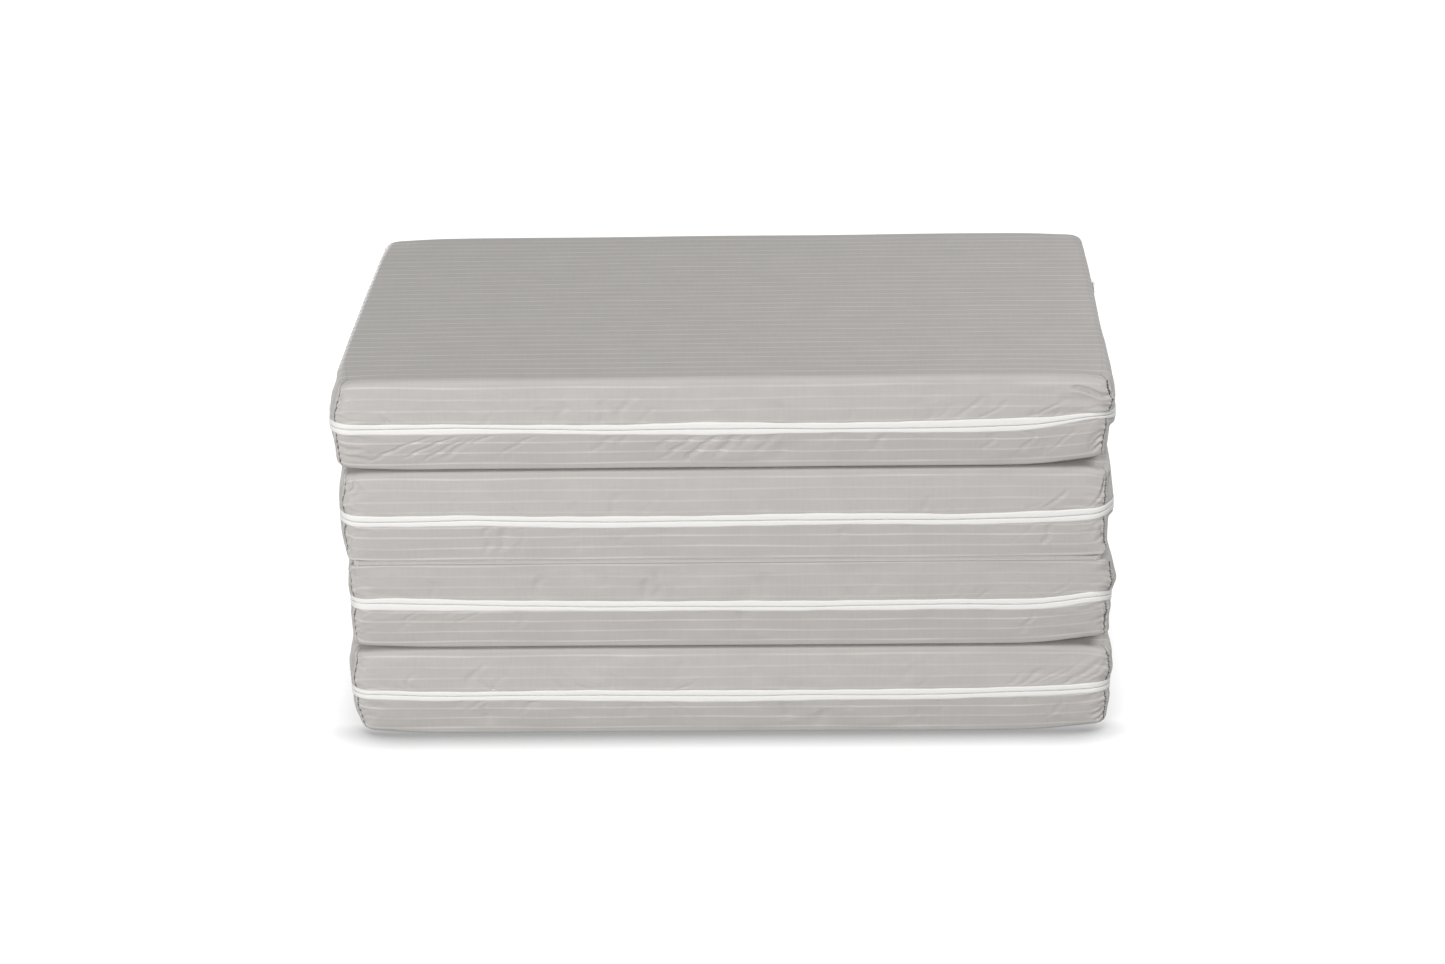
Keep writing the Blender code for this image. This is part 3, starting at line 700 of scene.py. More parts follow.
# (place, height) points of a long fold, its width, its depth and the swell beside it
longFolds = {
    ("top_panel", "upper"): [
        ([(346, 30), (356, 28), (366, 24), (374, 19), (384, 16.5), (397, 16)], 1.9, 3, 1.3),
        ([(397, 16), (403, 19), (411, 26)], 1.9, 3, 1.4), ([(398, 8), (404, 13), (411, 19)], 1.7, 2, 1),
        ([(397, 17), (396, 24), (395, 29)], 2.2, 2.6, 0.6), ([(372, 8), (385, 6), (396, 5.5)], 2, 1, 0.5),
        ([(378, 12), (388, 11), (397, 10.5)], 1.8, 1, 0.5), ([(330, 20), (350, 17), (370, 12.5)], 3.5, 0.7, 0.4),
        ([(370, 33), (382, 29), (391, 24)], 2.2, 0.9, 0.6), ([(-394, 31), (-386, 23)], 1.6, 1.6, 0.8),
        ([(-399, 26), (-391, 20)], 1.5, 1.1, 0.6)],
    ("top_panel", "lower"): [
        ([(376, 30), (386, 24), (395, 20)], 1.8, 1.3, 0.8), ([(378, 36), (388, 31), (397, 27)], 1.8, 1.5, 0.9),
        ([(-352, 30), (-370, 26), (-390, 24)], 2.2, 0.9, 0.6), ([(-360, 17), (-378, 17), (-392, 15)], 2, 0.8, 0.5)],
    ("upper_middle_panel", "upper"): [
        ([(-392, 41), (-382, 39), (-377, 34), (-379, 28), (-387, 25)], 1.7, 1.8, 0.9),
        ([(-397, 24), (-391, 14), (-388, 3)], 1.9, 1.3, 0.8), ([(-384, 26), (-386, 15), (-384, 3)], 1.7, 0.9, 0.6),
        ([(392, 8), (393, 20), (394, 32)], 2.2, 1.5, 0.7), ([(383, 6), (388, 12), (391, 20)], 2.2, 1, 0.5)],
    ("upper_middle_panel", "lower"): [
        ([(-384, 3), (-388, 16), (-390, 30)], 2.2, 1.2, 0.7), ([(388, 4), (394, 16), (396, 30)], 2, 1, 0.6)],
    ("lower_middle_panel", "upper"): [([(-390, 6), (-391, 20), (-392, 34)], 1.9, 1.2, 0.8)],
    ("lower_middle_panel", "lower"): [
        ([(-388, 4), (-391, 18), (-392, 32)], 2, 1, 0.6), ([(394, 4), (397, 18), (398, 32)], 1.8, 1.3, 0.7)],
    ("bottom_panel", "upper"): [
        ([(352, 4), (364, 12), (378, 22)], 3, 0.5, 0.3), ([(368, 4), (379, 11), (390, 20)], 2.4, 0.5, 0.3)],
    ("bottom_panel", "lower"): [
        ([(372, 27), (384, 25), (394, 22)], 1.9, 0.9, 0.6), ([(378, 33), (388, 31), (397, 28)], 1.8, 1.1, 0.6)],
}
# The pucker where a corner seam ends: its height above the hem, its depth, number of arms and their turn
stars = {
    ("top_panel", "upper", "frontRight"): (30, 1.6, 4, 0.4),
    ("upper_middle_panel", "upper", "frontLeft"): (34, 2.6, 3, 0.9),
    ("upper_middle_panel", "upper", "frontRight"): (33, 0.9, 3, 0.2),
    ("bottom_panel", "upper", "frontRight"): (32.5, 2.2, 3, 1.1),
    ("bottom_panel", "lower", "frontRight"): (34, 2.2, 3, 2.1),
    ("top_panel", "lower", "frontLeft"): (33, 1.6, 4, 0),
}
cornerNames = ["frontRight", "backRight", "backLeft", "frontLeft"]


def creaseAcross(away):
    # Across a crease, in widths: a valley that rises to a soft lip at both sides.
    return (1 - away ** 2) * np.exp(-away ** 2)


def wrinkles(panelName, half, place, height, hem, seed):
    # The depth of every fold at a point of the wall, outwards above zero. Broad waves first, then short puckers at the
    # zip, the corner seams with their stars and level folds, and the listed folds.
    draw = np.random.default_rng(seed)
    length = walk["length"] / mm
    along = place / mm
    above = (height - hem) / mm
    total = np.zeros(np.broadcast(place, height).shape)
    for wave in range(creases["broadWaves"]):
        count, slant = draw.integers(*creases["waveCounts"]), draw.uniform(*creases["waveSlants"])
        phase, size = draw.uniform(0, 2 * pi), draw.uniform(*creases["waveSizes"]) / 3.2
        total += creases["broadDepth"] * size * np.sin(2 * pi * count * (along + slant * above) / length + phase)
    total *= smooth(above / 14)
    bent = along
    for size, up, onwards, phase in creases["bends"]:
        bent = bent + size * np.sin(above / up + along / onwards + phase)
    for number in range(creases["random"]):
        centre = draw.uniform(-0.5, 0.5) * length
        slant = draw.normal(0, creases["slantSpread"])
        reach, width, depth = [draw.uniform(*creases[key]) for key in ("reaches", "widths", "depths")]
        away = (bent - centre - slant * above) / width
        depth *= creases["randomDepth"]
        total -= depth * creaseAcross(away) * np.exp(-np.clip(above, 0, None) / reach) * smooth(above / 2.5)
    total *= panels[panelName]["slack"]
    for corner, cornerName in zip(seamPoints, cornerNames):
        away = along - walk["place"][corner] / mm
        away = (away + length / 2) % length - length / 2
        starHeight, starDepth, arms, armTurn = stars.get((panelName, half, cornerName), creases["plainStar"])
        phases, pitch = draw.uniform(0, 6, 2), draw.uniform(*creases["levelPitches"])
        sidePhase = np.where(away > 0, phases[0], phases[1])
        band = smooth(above / 4) * (1 - smooth((above - starHeight + 2) / 6))
        beside = np.abs(away)
        depth, far, begin = creases["levelFolds"]
        near = np.exp(-beside / far) * (1 - np.exp(-beside / begin))
        total += depth * near * band * np.sin(2 * pi * above / pitch + sidePhase + away * 0.15)
        firstStitch, stitchPitch = stitches["cornerRun"][0] / mm, stitches["cornerPitch"] / mm
        ripple = np.sin(2 * pi * (above - firstStitch) / stitchPitch + np.sign(away) * 0.9)
        (ridge, ridgeReach), (groove, grooveReach) = creases["seamRidge"], creases["seamGroove"]
        depth, far = creases["seamRipple"]
        total += depth * band * np.exp(-beside / far) * ripple
        total += ridge * band * bell(away, ridgeReach)
        total -= groove * band * bell(away, grooveReach)
        rise = above - starHeight
        reach, angle = np.hypot(away, rise), np.arctan2(rise, away)
        total -= starDepth * bell(reach, creases["starReach"])
        armShape = np.cos(arms * (angle + armTurn)) * bell(reach, creases["armReach"]) * smooth(reach / 2.5)
        total += creases["armShare"] * starDepth * armShape
    for centre, middle, slant, reach, width, depth in placedCreases.get((panelName, half), []):
        span = above - middle
        away = (bent - centre - slant * span) / width
        total -= depth * creaseAcross(away) * np.exp(-(span / (reach * 0.6)) ** 4) * smooth(above / 2.5)
    for points, width, depth, lip in longFolds.get((panelName, half), []):
        nearest = np.full(total.shape, 1e9)
        ends = np.full(total.shape, 1.0)
        for number, ((x0, y0), (x1, y1)) in enumerate(zip(points, points[1:])):
            dx, dy = x1 - x0, y1 - y0
            px, py = along - x0, above - y0
            share = np.clip((px * dx + py * dy) / (dx * dx + dy * dy), 0, 1)
            gap = np.hypot(px - share * dx, py - share * dy)
            done = (number + share) / (len(points) - 1)
            ends = np.where(gap < nearest, done, ends)
            nearest = np.minimum(gap, nearest)
        taper = np.minimum(smooth((ends + 0.02) / 0.3), smooth((1.12 - ends) / 0.3))
        total -= depth * taper * bell(nearest, width)
        total += lip * taper * bell(nearest - 2.1 * width, width)
    deepest = (foam["clearance"] + foam["cornerClearance"] * bell(walk["fromCorner"], 0.045)) / mm - 0.5
    return np.where(total < 0, -deepest * np.tanh(-total / deepest), total) * mm


def faceWaves(x, y, seed, depth):
    # Very shallow swells of a face, from a few slow sine waves.
    draw = np.random.default_rng(seed + 500)
    total = 0.0
    for wave in range(cover["faceWaves"]):
        size = draw.uniform(0.3, 1.0) / 3
        turns = draw.uniform(-6, 6) * x + draw.uniform(-9, 9) * y
        total = total + size * np.sin(2 * pi * turns + draw.uniform(0, 6))
    return total * depth


# Cloth simulation of the walls: cut a little too large, pressed out from inside, and held at the hem and face
looseCloth = {
    "ringStep": 3, "columnStep": 2, "frames": 16,
    "settings": {
        "quality": 4, "mass": 0.25, "tension_stiffness": 25, "compression_stiffness": 25, "shear_stiffness": 8,
        "bending_stiffness": 0.15, "air_damping": 4, "use_pressure": True, "uniform_pressure_force": 3.0,
        "vertex_group_mass": "held", "vertex_group_shrink": "spare",
        "shrink_min": 0.0, "shrink_max": -0.060,  # below zero: how much too large the cloth is near the hem
    },
    "spareReach": 26,  # in millimetres above the hem
    "hold": 0.04,  # how firmly a free point is drawn back to its place
    "cap": 0.0026,  # the furthest that a point may move
    "evenReach": 24,  # columns over which the even part of the swelling is taken off again
}


def simulatedWall(name, points, normals, arcEnd, above):
    # Simulates every few rings and columns of one half's wall, and returns the movement along the normals,
    # spread over all its points: straight lines between the simulated ones in both directions.
    chosenRings = np.append(np.arange(3, arcEnd, looseCloth["ringStep"]), arcEnd)
    chosenColumns = np.arange(0, pointCount, looseCloth["columnStep"])
    coarse = points[chosenRings][:, chosenColumns]
    rings, count = coarse.shape[:2]
    mesh = meshFromArrays(name, coarse, [gridQuads(rings, count, closed=True)])
    piece = bpy.data.objects.new(name, mesh)
    bpy.context.scene.collection.objects.link(piece)
    held = piece.vertex_groups.new(name="held")
    spare = piece.vertex_groups.new(name="spare")
    ringAbove = above[chosenRings].mean(axis=1) / mm
    for ring in range(rings):
        numbers = list(range(ring * count, (ring + 1) * count))
        rim = ring == 0 or ring == rings - 1
        held.add(numbers, 1.0 if rim else looseCloth["hold"], "REPLACE")
        spare.add(numbers, float(np.exp(-ringAbove[ring] / looseCloth["spareReach"])), "REPLACE")
    modifier = piece.modifiers.new("looseCloth", "CLOTH")
    for key, value in looseCloth["settings"].items():
        setattr(modifier.settings, key, value)
    modifier.settings.effector_weights.gravity = 0
    modifier.collision_settings.use_collision = modifier.collision_settings.use_self_collision = False
    modifier.point_cache.frame_start, modifier.point_cache.frame_end = 1, looseCloth["frames"]
    for step in range(1, looseCloth["frames"] + 1):
        bpy.context.scene.frame_set(step)
    result = piece.evaluated_get(bpy.context.evaluated_depsgraph_get())
    settled = np.empty(len(mesh.vertices) * 3)
    result.data.vertices.foreach_get("co", settled)
    move = settled.reshape(rings, count, 3) - coarse
    bpy.context.scene.frame_set(1)
    bpy.data.objects.remove(piece)
    bpy.data.meshes.remove(mesh)
    out = (move * normals[chosenRings][:, chosenColumns]).sum(axis=-1)
    reach = looseCloth["evenReach"]
    wrapped = np.concatenate((out[:, -reach:], out, out[:, :reach]), axis=1)
    window = np.hanning(2 * reach + 3)[1:-1]
    even = np.array([np.convolve(row, window / window.sum(), mode="valid") for row in wrapped])
    print(f"  {name}: moved up to {np.abs(out).max() / mm:.2f} mm, uneven part {np.std(out - even) / mm:.2f} mm")
    out = looseCloth["cap"] * np.tanh((out - even) / looseCloth["cap"])
    across = np.arange(pointCount)
    wide = np.array([np.interp(across, np.append(chosenColumns, pointCount), np.append(row, row[0])) for row in out])
    everyRing = np.arange(len(points))
    return np.array([np.interp(everyRing, chosenRings, column) for column in wide.T]).T


gridX, gridY, rim = gridAndRim()


def ringPoints(panel, half, insets, heights, hem):
    # Rings in their place, with the panel's sideways pull at its front corners.
    x, y = outline(walk, insets, cornerSharpness(panel, half, heights - hem))
    x = x + cornerPull(walk, panel, ways[half] * heights)
    if panel["narrows"] == half:
        # its short sides lean in above the zip, more and more towards the back
        front, more = cover["narrowing"]
        leaning = (front + more * (y / stack["halfDepth"] + 1) / 2) * mm * smooth(heights / cover["narrowHeight"])
        x = x - np.clip(x / cover["narrowWidth"], -1, 1) * leaning
    return xyz(x, y, panel["middle"] + ways[half] * heights)


def normalsOf(points, half):
    # Across a ring and along the wall, crossed: the way that the cloth faces.
    along = np.roll(points, -1, axis=1) - np.roll(points, 1, axis=1)
    return unit(np.cross(along, np.gradient(points, axis=0))) * ways[half]


def makeCover(panelName, half):
    panel = panels[panelName]
    seed = panel["seed"] + (half == "lower")
    insets, heights, hem, arcEnd = coverProfile(panel, half)
    points = ringPoints(panel, half, insets, heights, hem)
    normals = normalsOf(points, half)
    onWall = smooth((stack["halfThickness"] - 0.004 - heights) / 0.010)
    depth = wrinkles(panelName, half, np.broadcast_to(walk["place"], heights.shape), heights, hem, seed) * onWall
    visibleTop = panelName == "top_panel" and half == "upper"
    waveDepth, lift = (cover["topWave"], 0.0) if visibleTop else (cover["faceWave"], -cover["faceWave"])
    depth = depth + (faceWaves(points[..., 0], points[..., 1], seed, waveDepth) + lift) * (1 - onWall)
    reach = np.arange(len(insets))[:, None]
    depth = depth * smooth((reach - 2.5) / 2)
    start = points + normals * depth[..., None]
    simulated = simulatedWall(f"{panelName}_{half}_wall", start, normals, arcEnd, heights - hem)
    depth = depth + simulated * onWall * smooth((reach - 2.5) / 3)
    shaped = points + normals * depth[..., None]

    x, y = gridX.ravel(), gridY.ravel()
    gridHeight = stack["halfThickness"] - faceDrop(x, y, panel, half)
    gridHeight += faceWaves(x, y, seed, waveDepth) + lift
    grid = xyz(x, y, panel["middle"] + ways[half] * gridHeight)

    # The lining: a few rings a little inside, closed by one flat face
    linedRings = cover["linedRings"] + [cover["wallRings"] + 3, arcEnd - 3, arcEnd, len(insets) - 1]
    lining = shaped[linedRings] - normals[linedRings] * cover["liningDepth"]

    rings, count = len(insets), pointCount
    gridStart = rings * count
    liningStart = gridStart + len(grid)
    here = np.arange(count)
    after = (here + 1) % count
    last = (rings - 1) * count
    same = rim[here] == rim[after]
    toGrid = np.stack((last + here, last + after, gridStart + rim[after], gridStart + rim[here]), axis=-1)
    quads = [gridQuads(rings, count, closed=True),
             gridQuads(outlineSteps["rows"] + 1, outlineSteps["columns"] + 1, gridStart), toGrid[~same]]
    fans = toGrid[same][:, [0, 1, 3]]
    hemJoin = np.stack((here, liningStart + here, liningStart + after, after), axis=-1)
    liningQuads = gridQuads(len(linedRings), count, liningStart, closed=True)[:, ::-1]
    cap = (liningStart + (len(linedRings) - 1) * count + here)[None, ::-1]
    mesh = meshFromArrays(f"{panelName}_{half}", joined(shaped, grid, lining),
                          [np.concatenate(quads), fans, np.concatenate([hemJoin, liningQuads]), cap])

    # The cloth's own coordinates, from the unwrinkled rings
    steps = np.linalg.norm(np.diff(points, axis=0), axis=-1)
    down = np.zeros(insets.shape)
    down[:arcEnd] = np.cumsum(steps[:arcEnd][::-1], axis=0)[::-1]
    edgeX, edgeY, _ = points[arcEnd].T
    onFace = reach >= arcEnd
    frontY = np.where(onFace, points[..., 1], edgeY + np.sign(edgeY) * down * cover["lineCrowding"])
    sideX = np.where(onFace, points[..., 0], edgeX + np.sign(edgeX) * down)
    # this share also places the painted shade along each corner seam
    seamShare = np.where(onFace, 1.0, np.sin(walk["turn"]) ** 2)
    # painted sheen: the satin lines are painted fainter on the walls of an upper half, where they catch less light
    paintedLineSheen = 1 - cover["fading"][half] * smooth(down / 0.02)
    gridPlace = xyz(x, y, 1.0)
    for name, place in (("clothFront", xyz(points[..., 0], frontY, seamShare)),
                        ("clothSide", xyz(sideX, points[..., 1], paintedLineSheen))):
        storeVectors(mesh, name, place, gridPlace, place[linedRings])
    piece = addPiece(f"{panelName}_{half}_cloth_cover", mesh, clothMaterial)
    declare(piece, panelName, f"{panelName}_{half}_cover")
    return {"flat": points, "points": shaped, "normals": normals, "heights": heights, "hem": hem, "arcEnd": arcEnd}


covers = {}
for panelName in panels:
    for half in ways:
        covers[panelName, half] = makeCover(panelName, half)
    print("cover of", panelName, "made")


# Foam cores
def makeFoam(panelName):
    # The covers' own walls and edges without their folds, drawn in by the clearance, closed at both faces.
    clearance = foam["clearance"] + foam["cornerClearance"] * bell(walk["fromCorner"], 0.050)
    rings = []
    for half in ways:
        made = covers[panelName, half]
        inner = made["flat"] - made["normals"] * clearance[None, :, None]
        inner = inner[foam["rings"] + [made["arcEnd"] + more for more in (0, 3, 5)], ::foam["columnStep"]]
        rings.append(inner[::-1] if half == "upper" else inner)
    piece = addTube(f"{panelName}_foam_slab", np.concatenate(rings), foamMaterial)
    declare(piece, panelName, f"{panelName}_foam_core")


for panelName in panels:
    makeFoam(panelName)
print("foam slabs made")


# Zips: two tapes that meet at a fine line, and a coil behind each one
zipper = {
    "stationGap": 0.0026,
    "lineWave": 0.15, "lineWaves": (9.3, 3.9),  # how far the fine line wanders, in millimetres, and its waves a metre
    "stillFrom": 0.40, "stillReach": 0.02,  # it runs straight along the right side
    "faceSwell": 0.14,  # how far the tapes' faces swell out, in millimetres
    "halfLine": 0.0004,  # from the fine line to a tape
    "toothPitch": 0.0021,
    "teeth": {"upper": (0.55, -0.35, -0.35), "lower": (-0.35, -0.35, 0.55)},  # their reach past the line
    "coilHeight": 2.6,
    "coilInsets": (1.2, 2.6),
    # Through a tape: its inset, and its place from the fine line (0) to the hem (1). Past 1 it goes on behind the
    # hem, in millimetres. The swells are shares of faceSwell.
    "tapeFace": [(0.45, 0.0), (0.12, 0.02)],
    "tapeSwells": [(0.3, 0.10), (0.8, 0.28), (1.0, 0.5), (0.7, 0.75)],
    "tapeBack": [(0.0, 0.95), (0.7, 1.0), (1.5, 2.2), (2.1, 5.2), (2.6, 5.2), (2.2, 2.2), (1.4, 1.0), (0.8, 0.75),
                 (0.7, 0.3), (0.9, 0.0)],
}
walkOrder = np.argsort(walk["place"])


def fromWalk(places, values):
    return np.interp(places, walk["place"][walkOrder], values[walkOrder])


def zipStations(spacing):
    # Even stations from one end of the zip round the front to the other, as a walk of their own.
    _, y = outline(walk, 0.0)
    onSide = walk["turn"] == 0
    ending = np.interp(stack["zipEndDepth"], y[onSide], walk["place"][onSide])
    places = np.linspace(-ending, ending, int(round(2 * ending / spacing)) + 1)
    turn = walk["turn"] - 2 * pi * (walk["turn"] > radians(179))
    return {"place": places, "turn": fromWalk(places, turn),
            **{key: fromWalk(places, walk[key]) for key in ("across", "deep")}}


def sweepZip(panelName, half, kinds, stations, section, heightOf, material):
    # Carries a section of (inset in millimetres, share of the height) along the zip. kinds: the names' last words.
    panel = panels[panelName]
    rows = []
    for inset, share in section:
        x, y = outline(stations, inset * mm)
        rows.append(xyz(x + cornerPull(stations, panel, 0.0), y, panel["middle"] + heightOf(share)))
    points = np.stack(rows, axis=1)
    piece = addTube(f"{panelName}_{half}_{kinds[0]}", points, material)
    declare(piece, panelName, f"{panelName}_{half}_{kinds[1]}")
    return piece, points


def makeZip(panelName):
    panel = panels[panelName]
    stations = zipStations(zipper["stationGap"])
    places = stations["place"]
    onRight = smooth((places - zipper["stillFrom"]) / zipper["stillReach"])
    quick, slow = zipper["lineWaves"]
    wave = np.sin(2 * pi * places * quick + panel["seed"]) * (1 + 0.5 * np.sin(2 * pi * places * slow))
    line = fromWalk(places, zipPlay(panel)[3]) + zipper["lineWave"] * mm * (1 - onRight) * wave
    swells = [(-share * zipper["faceSwell"], height) for share, height in zipper["tapeSwells"]]
    tapeSection = zipper["tapeFace"] + swells + zipper["tapeBack"]
    for half, direction in ways.items():
        hemTop = direction * fromWalk(places, covers[panelName, half]["hem"])
        low = line + direction * zipper["halfLine"]

        def tapeHeight(share):
            return low + (hemTop - low) * min(share, 1.0) + direction * max(share - 1.0, 0.0) * mm

        piece, points = sweepZip(panelName, half, ("woven_tape", "zip_tape"), stations, tapeSection, tapeHeight,
                                 tapeMaterial)
        over = (points[..., 2] - line[:, None]) * direction
        storeVectors(piece.data, "tapePlace", xyz(places[:, None], over, 0.0))

    # Coils: each tooth reaches over the middle, between two teeth of the other coil
    teeth = zipStations(zipper["toothPitch"] / 3)
    toothLine = np.interp(teeth["place"], places, line)
    inset, innerInset = zipper["coilInsets"]
    coilSection = [(inset, 0), (inset, 1), (innerInset, 1), (innerInset, 0)]
    for half, direction in ways.items():
        reach = np.array(zipper["teeth"][half])[np.arange(len(toothLine)) % 3]

        def coilHeight(share):
            return toothLine + direction * (zipper["coilHeight"] if share else -reach) * mm

        sweepZip(panelName, half, ("coil", "zip_coil"), teeth, coilSection, coilHeight, coilMaterial)


for panelName in panels:
    makeZip(panelName)
print("zips made")


# Stitches: one small grain of dark thread, repeated; its near-black colour is partly the thread's own and partly
# painted shade of the needle holes
def grainShape(length, thickness, around=6, along=4):
    # An egg of rings. At the angle a from its end, x is -cos(a) length / 2 and the radius sin(a) thickness / 2.
    lat = np.linspace(0, pi, along + 2)[1:-1]
    lon = np.linspace(0, 2 * pi, around, endpoint=False)
    rings = [xyz(-cos(a) * length / 2, np.cos(lon) * sin(a) * thickness / 2, np.sin(lon) * sin(a) * thickness / 2)
             for a in lat]
    points = joined([-length / 2, 0, 0], rings, [length / 2, 0, 0])
    quads = gridQuads(along, around, 1, closed=True)
    here = np.arange(around)
    after = (here + 1) % around
    first = np.stack((np.zeros(around, int), 1 + after, 1 + here), axis=-1)
    lastRing = 1 + (along - 1) * around
    final = np.full(around, len(points) - 1)
    second = np.stack((lastRing + here, lastRing + after, final), axis=-1)
    return points, quads, np.concatenate([first, second])


def scatterGrains(name, shape, centres, alongs, outs, body):
    # A copy of the grain at each centre, its length along one direction and its flat towards another.
    points, quads, triangles = shape
    alongs = unit(alongs)
    across = unit(np.cross(outs, alongs))
    axes = (alongs, across, np.cross(alongs, across))
    turned = sum(points[:, number, None] * axis[:, None] for number, axis in enumerate(axes))
    offsets = (np.arange(len(centres)) * len(points))[:, None, None]
    mesh = meshFromArrays(name, turned + centres[:, None], [(quads[None] + offsets).reshape(-1, 4),
                                                            (triangles[None] + offsets).reshape(-1, 3)])
    declare(addPiece(name, mesh, threadAndShadeMaterial), body)


def makeCornerStitches(panelName, half):
    # One stitch every few millimetres down each corner seam, lying in the seam's groove, and three crossed ones
    # where the seam ends.
    shaped = covers[panelName, half]
    usable = np.arange(3, cover["wallRings"] + 10)
    levels = np.arange(*stitches["cornerRun"], stitches["cornerPitch"])
    centres, alongs, outs = [], [], []
    for corner in seamPoints:
        above = (shaped["heights"][:, corner] - shaped["hem"][corner])[usable]
        centre, out = [xyz(*[np.interp(levels, above, column) for column in shaped[key][usable, corner].T])
                       for key in ("points", "normals")]
        down = np.gradient(centre, axis=0)
        endOut, upward = unit(out[-1]), unit(down[-1])
        angles = np.radians(stitches["crossAngles"])[:, None]
        crossed = np.cos(angles) * upward + np.sin(angles) * np.cross(endOut, upward)
        centres += [centre + out * stitches["lift"],
                    centre[-1] + out[-1] * stitches["crossLift"] + crossed * stitches["crossReach"]]
        alongs += [down, crossed]
        outs += [out, np.tile(endOut, (3, 1))]
    scatterGrains(f"{panelName}_{half}_corner_stitches",
                  grainShape(stitches["cornerLength"], stitches["thickness"]), np.concatenate(centres),
                  np.concatenate(alongs), np.concatenate(outs), panelName)


for panelName in panels:
    for half in ways:
        makeCornerStitches(panelName, half)


# Fold bindings: one strip of cloth over each sewn fold
binding = {
    "frontEnds": (-0.3840, 0.3885), "backEnds": (-0.3900, 0.3900), "columnGap": 0.0008,
    "halfHeight": 0.0026, "depth": 0.00095,
    "stitchShare": 0.72,  # where the stitches run, of the half height
    "stitchDepth": 0.00035,
    "pucker": 0.00022, "edgePucker": 0.04, "rowReach": 0.22,  # how the cloth swells between two stitches
    "stitchEnds": (0.004, 0.005),
    "endTurn": 2.6, "endReach": 0.0028,  # how far the ends turn in, in millimetres, and over what length
    "bendReach": 0.0009,  # the strip bends within this of the fold's axis
    # Across the strip: shares of the half height, and how far in each lies, in millimetres
    "section": [(-1.0, 0.55), (-0.93, 0.12), (-0.7, 0.0), (-0.35, 0.0), (-0.08, 0.05), (0.0, 0.45), (0.08, 0.05),
                (0.35, 0.0), (0.7, 0.0), (0.93, 0.12), (1.0, 0.55)],
}


def makeBinding(name, upperPanel, lowerPanel, side):
    # A flat strip with rounded long edges; every stitch draws it in a little, and it swells in between. Both its
    # ends turn in round the corners.
    sign = sides[side]
    foldHeight = (panels[upperPanel]["middle"] + panels[lowerPanel]["middle"]) / 2
    left, right = binding[side + "Ends"]
    pitch, plane = stitches["foldPitch"], stack["halfDepth"]
    x = np.linspace(left, right, int((right - left) / binding["columnGap"]))[:, None]
    endTurn = binding["endTurn"] * mm * (bell(x - left, binding["endReach"]) + bell(right - x, binding["endReach"]))
    shares, rim = np.array(binding["section"]).T
    wave = np.cos(2 * pi * x / pitch)
    rowPull = bell(np.abs(shares) - binding["stitchShare"], binding["rowReach"])
    out = -rim * mm + binding["pucker"] * (wave * rowPull - rowPull) - endTurn
    height = foldHeight + shares * binding["halfHeight"] * (1 + binding["edgePucker"] * wave)
    outer = xyz(x, sign * (plane + out), height)
    inner = xyz(x, sign * (plane - binding["depth"] - endTurn), height)[:, ::-1]
    piece = addTube(name, np.concatenate([outer, inner], axis=1), bindingMaterial)
    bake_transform(piece)
    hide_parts(f"{upperPanel}_{side}_fold_binding", f"{lowerPanel}_{side}_fold_binding")
    leftEnd, rightEnd = binding["stitchEnds"]
    spots = (np.arange(np.ceil((left + leftEnd) / pitch), np.floor((right - rightEnd) / pitch)) + 0.5) * pitch
    grain = grainShape(stitches["foldLength"], stitches["foldThickness"], 5, 3)
    for body, direction in ((upperPanel, 1), (lowerPanel, -1)):
        row = xyz(spots, sign * (plane - binding["stitchDepth"]),
                  foldHeight + direction * binding["stitchShare"] * binding["halfHeight"])
        scatterGrains(f"{body}_{side}_fold_stitches", grain, row, row * 0 + (1, 0, 0), row * 0 + (0, sign, 0), body)


makeBinding("upper_back_fold_strip", "top_panel", "upper_middle_panel", "back")
makeBinding("front_fold_strip", "upper_middle_panel", "lower_middle_panel", "front")
makeBinding("lower_back_fold_strip", "lower_middle_panel", "bottom_panel", "back")
print("seams and bindings made")


# Sliders and pulls: the CAD shapes, welded and with their edges broken. Angles in degrees.
metal = {"edgeWidth": 0.00018, "flatAngle": 2, "edgeAngle": 32, "shadedAngle": 40}


def roundedCopy(node):
    shape = bmesh.new()
    shape.from_mesh(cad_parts[node].data)
    bmesh.ops.remove_doubles(shape, verts=shape.verts, dist=1e-6)
    bmesh.ops.dissolve_limit(shape, angle_limit=radians(metal["flatAngle"]), verts=shape.verts, edges=shape.edges)
    bmesh.ops.recalc_face_normals(shape, faces=shape.faces)
    sharp = [edge for edge in shape.edges
             if len(edge.link_faces) == 2 and edge.calc_face_angle() > radians(metal["edgeAngle"])]
    bmesh.ops.bevel(shape, geom=sharp, offset=metal["edgeWidth"], segments=2, affect="EDGES", profile=0.5,
                    clamp_overlap=True)
    mesh = bpy.data.meshes.new(node + "_rounded")
    shape.to_mesh(mesh)
    shape.free()
    mesh.shade_smooth()
    mesh.set_sharp_from_angle(angle=radians(metal["shadedAngle"]))
    return mesh


for panelName in panels:
    for part in ("slider", "pull"):
        node, body = f"{panelName}_zip_{part}", f"{panelName}_{part}"
        piece = addPiece(f"{panelName}_metal_{part}", roundedCopy(node), metalMaterial)
        declare(piece, body, node)
print("sliders made")


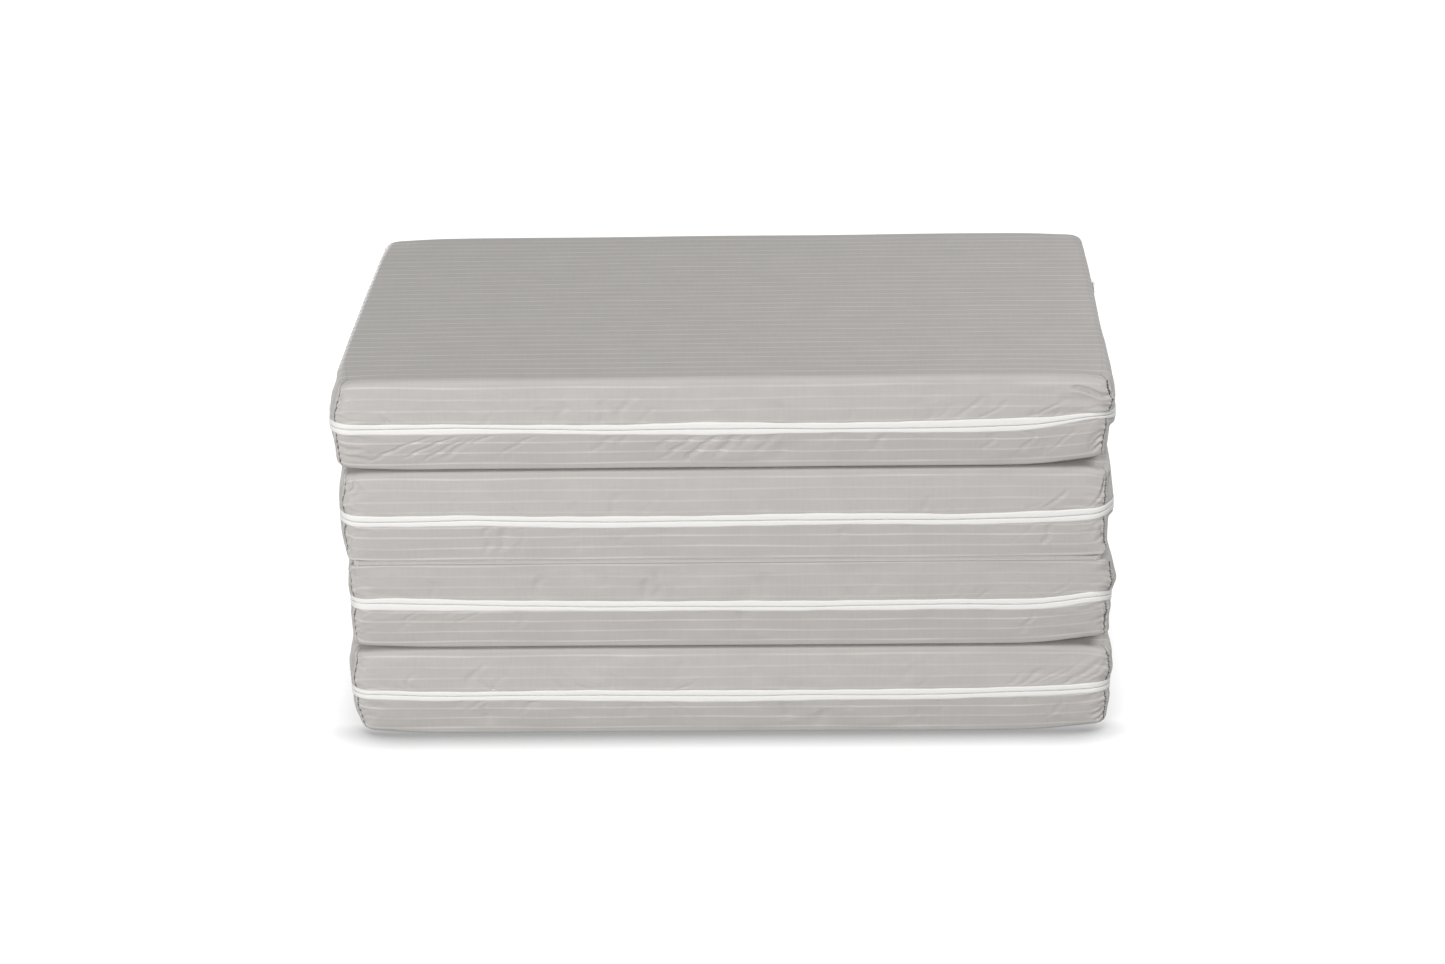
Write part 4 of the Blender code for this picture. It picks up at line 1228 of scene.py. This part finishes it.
# Studio: a pale floor, white surroundings and three broad lamps: front left, right, and low behind
studio = {
    "floorSize": 14.0, "floorHeight": -0.0002,
    "floorColour": (0.36, 0.36, 0.36, 1.0),  # what it gives back to the stack
    "floorSeen": (0.25, 0.25, 0.25, 1.0),  # its lit part in the picture
    "contactReach": 0.052, "contactShade": 0.18,  # how its plain part fades near what stands on it
    "sideShadow": 0.40, "sideFrom": (-0.235, -0.205),  # how much of it shows behind the stack's front, from where
    "openFrom": 0.45,  # how open a place is where that fading is full
    "worldStrength": 0.20,
    "lamps": {  # power, place and size
        "frontLamp": (224.0, (-2.1, -4.7, 1.8), 2.4),
        "sideLamp": (42.0, (2.4, -0.4, 2.3), 1.4),
        "backLamp": (72.0, (-2.0, 4.5, 0.45), 0.8),
    },
}


def seenByCamera(tree):
    rays = tree.nodes.new("ShaderNodeLightPath").outputs
    seen, mirrored, through = [Wire(tree, rays[f"Is {kind} Ray"]) for kind in ("Camera", "Glossy", "Transmission")]
    return seen.math("MAXIMUM", mirrored.math("MAXIMUM", through))


def addFloor():
    # For the camera the floor is part lit colour and part plain white, so that it ends in white. The plain part
    # fades where something stands close by, and keeps the soft shadow under the stack's edge.
    size = studio["floorSize"] / 2
    corners = [(x * size, y * size, studio["floorHeight"]) for x, y in ((-1, -1), (1, -1), (1, 1), (-1, 1))]
    mesh = bpy.data.meshes.new("floor")
    mesh.from_pydata(corners, [], [(0, 1, 2, 3)])
    material, tree, _ = startMaterial("studioFloor")
    tree.nodes.clear()
    seen = seenByCamera(tree)
    lit = addNode(tree, "BsdfDiffuse", {"Color": mixed(seen, studio["floorColour"], studio["floorSeen"])})
    openness = addNode(tree, "AmbientOcclusion", {"Distance": studio["contactReach"]}, "AO", samples=16)
    inFront = mapped(parts(objectPlace(tree))[1], *studio["sideFrom"], 1.0, studio["sideShadow"])
    shadow = inFront * mapped(openness, studio["openFrom"], 1.0, 1.0, 0.0)
    fade = shadow * (studio["contactShade"] - 1) + 1.0
    glow = addNode(tree, "Emission", {"Strength": seen * fade})
    output = tree.nodes.new("ShaderNodeOutputMaterial")
    feed(output.inputs["Surface"], addNode(tree, "AddShader", {0: lit, 1: glow}))
    addPiece("studio_floor", mesh, material)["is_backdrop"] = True


def addWorld():
    world = bpy.data.worlds.new("studioWorld")
    world.use_nodes = True
    background = world.node_tree.nodes["Background"].inputs
    feed(background["Color"], (1, 1, 1, 1))
    feed(background["Strength"], mapped(seenByCamera(world.node_tree), 0.0, 1.0, studio["worldStrength"], 1.0))
    bpy.context.scene.world = world


def addLamp(name, power, place, size, aim=(0.0, 0.0, 0.2)):
    light = bpy.data.lights.new(name, "AREA")
    light.energy, light.size = power, size
    lamp = bpy.data.objects.new(name, light)
    lamp.location = place
    lamp.rotation_euler = (Vector(aim) - Vector(place)).to_track_quat("-Z", "Y").to_euler()
    bpy.context.scene.collection.objects.link(lamp)


addFloor()
addWorld()
for lampName, (power, place, size) in studio["lamps"].items():
    addLamp(lampName, power, place, size)


# Camera, fitted to the photograph's view of the stack: angles in degrees, focal length and image width in pixels
camera = {
    "place": (0.1347, -3.5185, 1.6379), "down": 22.332, "left": 2.336, "roll": -1.366,
    "focal": 3469.2, "imageWidth": 1445, "sensor": 36.0,
}


def addCamera():
    # turned from a look straight down: raised, turned left, and rolled about its own axis
    turns = ((camera["left"], "Z"), (90 - camera["down"], "X"), (camera["roll"], "Z"))
    left, raised, rolled = [Matrix.Rotation(radians(angle), 4, axis) for angle, axis in turns]
    data = bpy.data.cameras.new("photoCamera")
    data.sensor_width = camera["sensor"]
    data.lens = camera["focal"] / camera["imageWidth"] * camera["sensor"]
    data.clip_start, data.clip_end = 0.05, 50.0
    item = bpy.data.objects.new("photoCamera", data)
    item.matrix_world = Matrix.Translation(camera["place"]) @ left @ raised @ rolled
    bpy.context.scene.collection.objects.link(item)
    bpy.context.scene.camera = item


addCamera()
bpy.context.scene.view_settings.view_transform = "Standard"
print("studio and camera ready")

low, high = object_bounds()
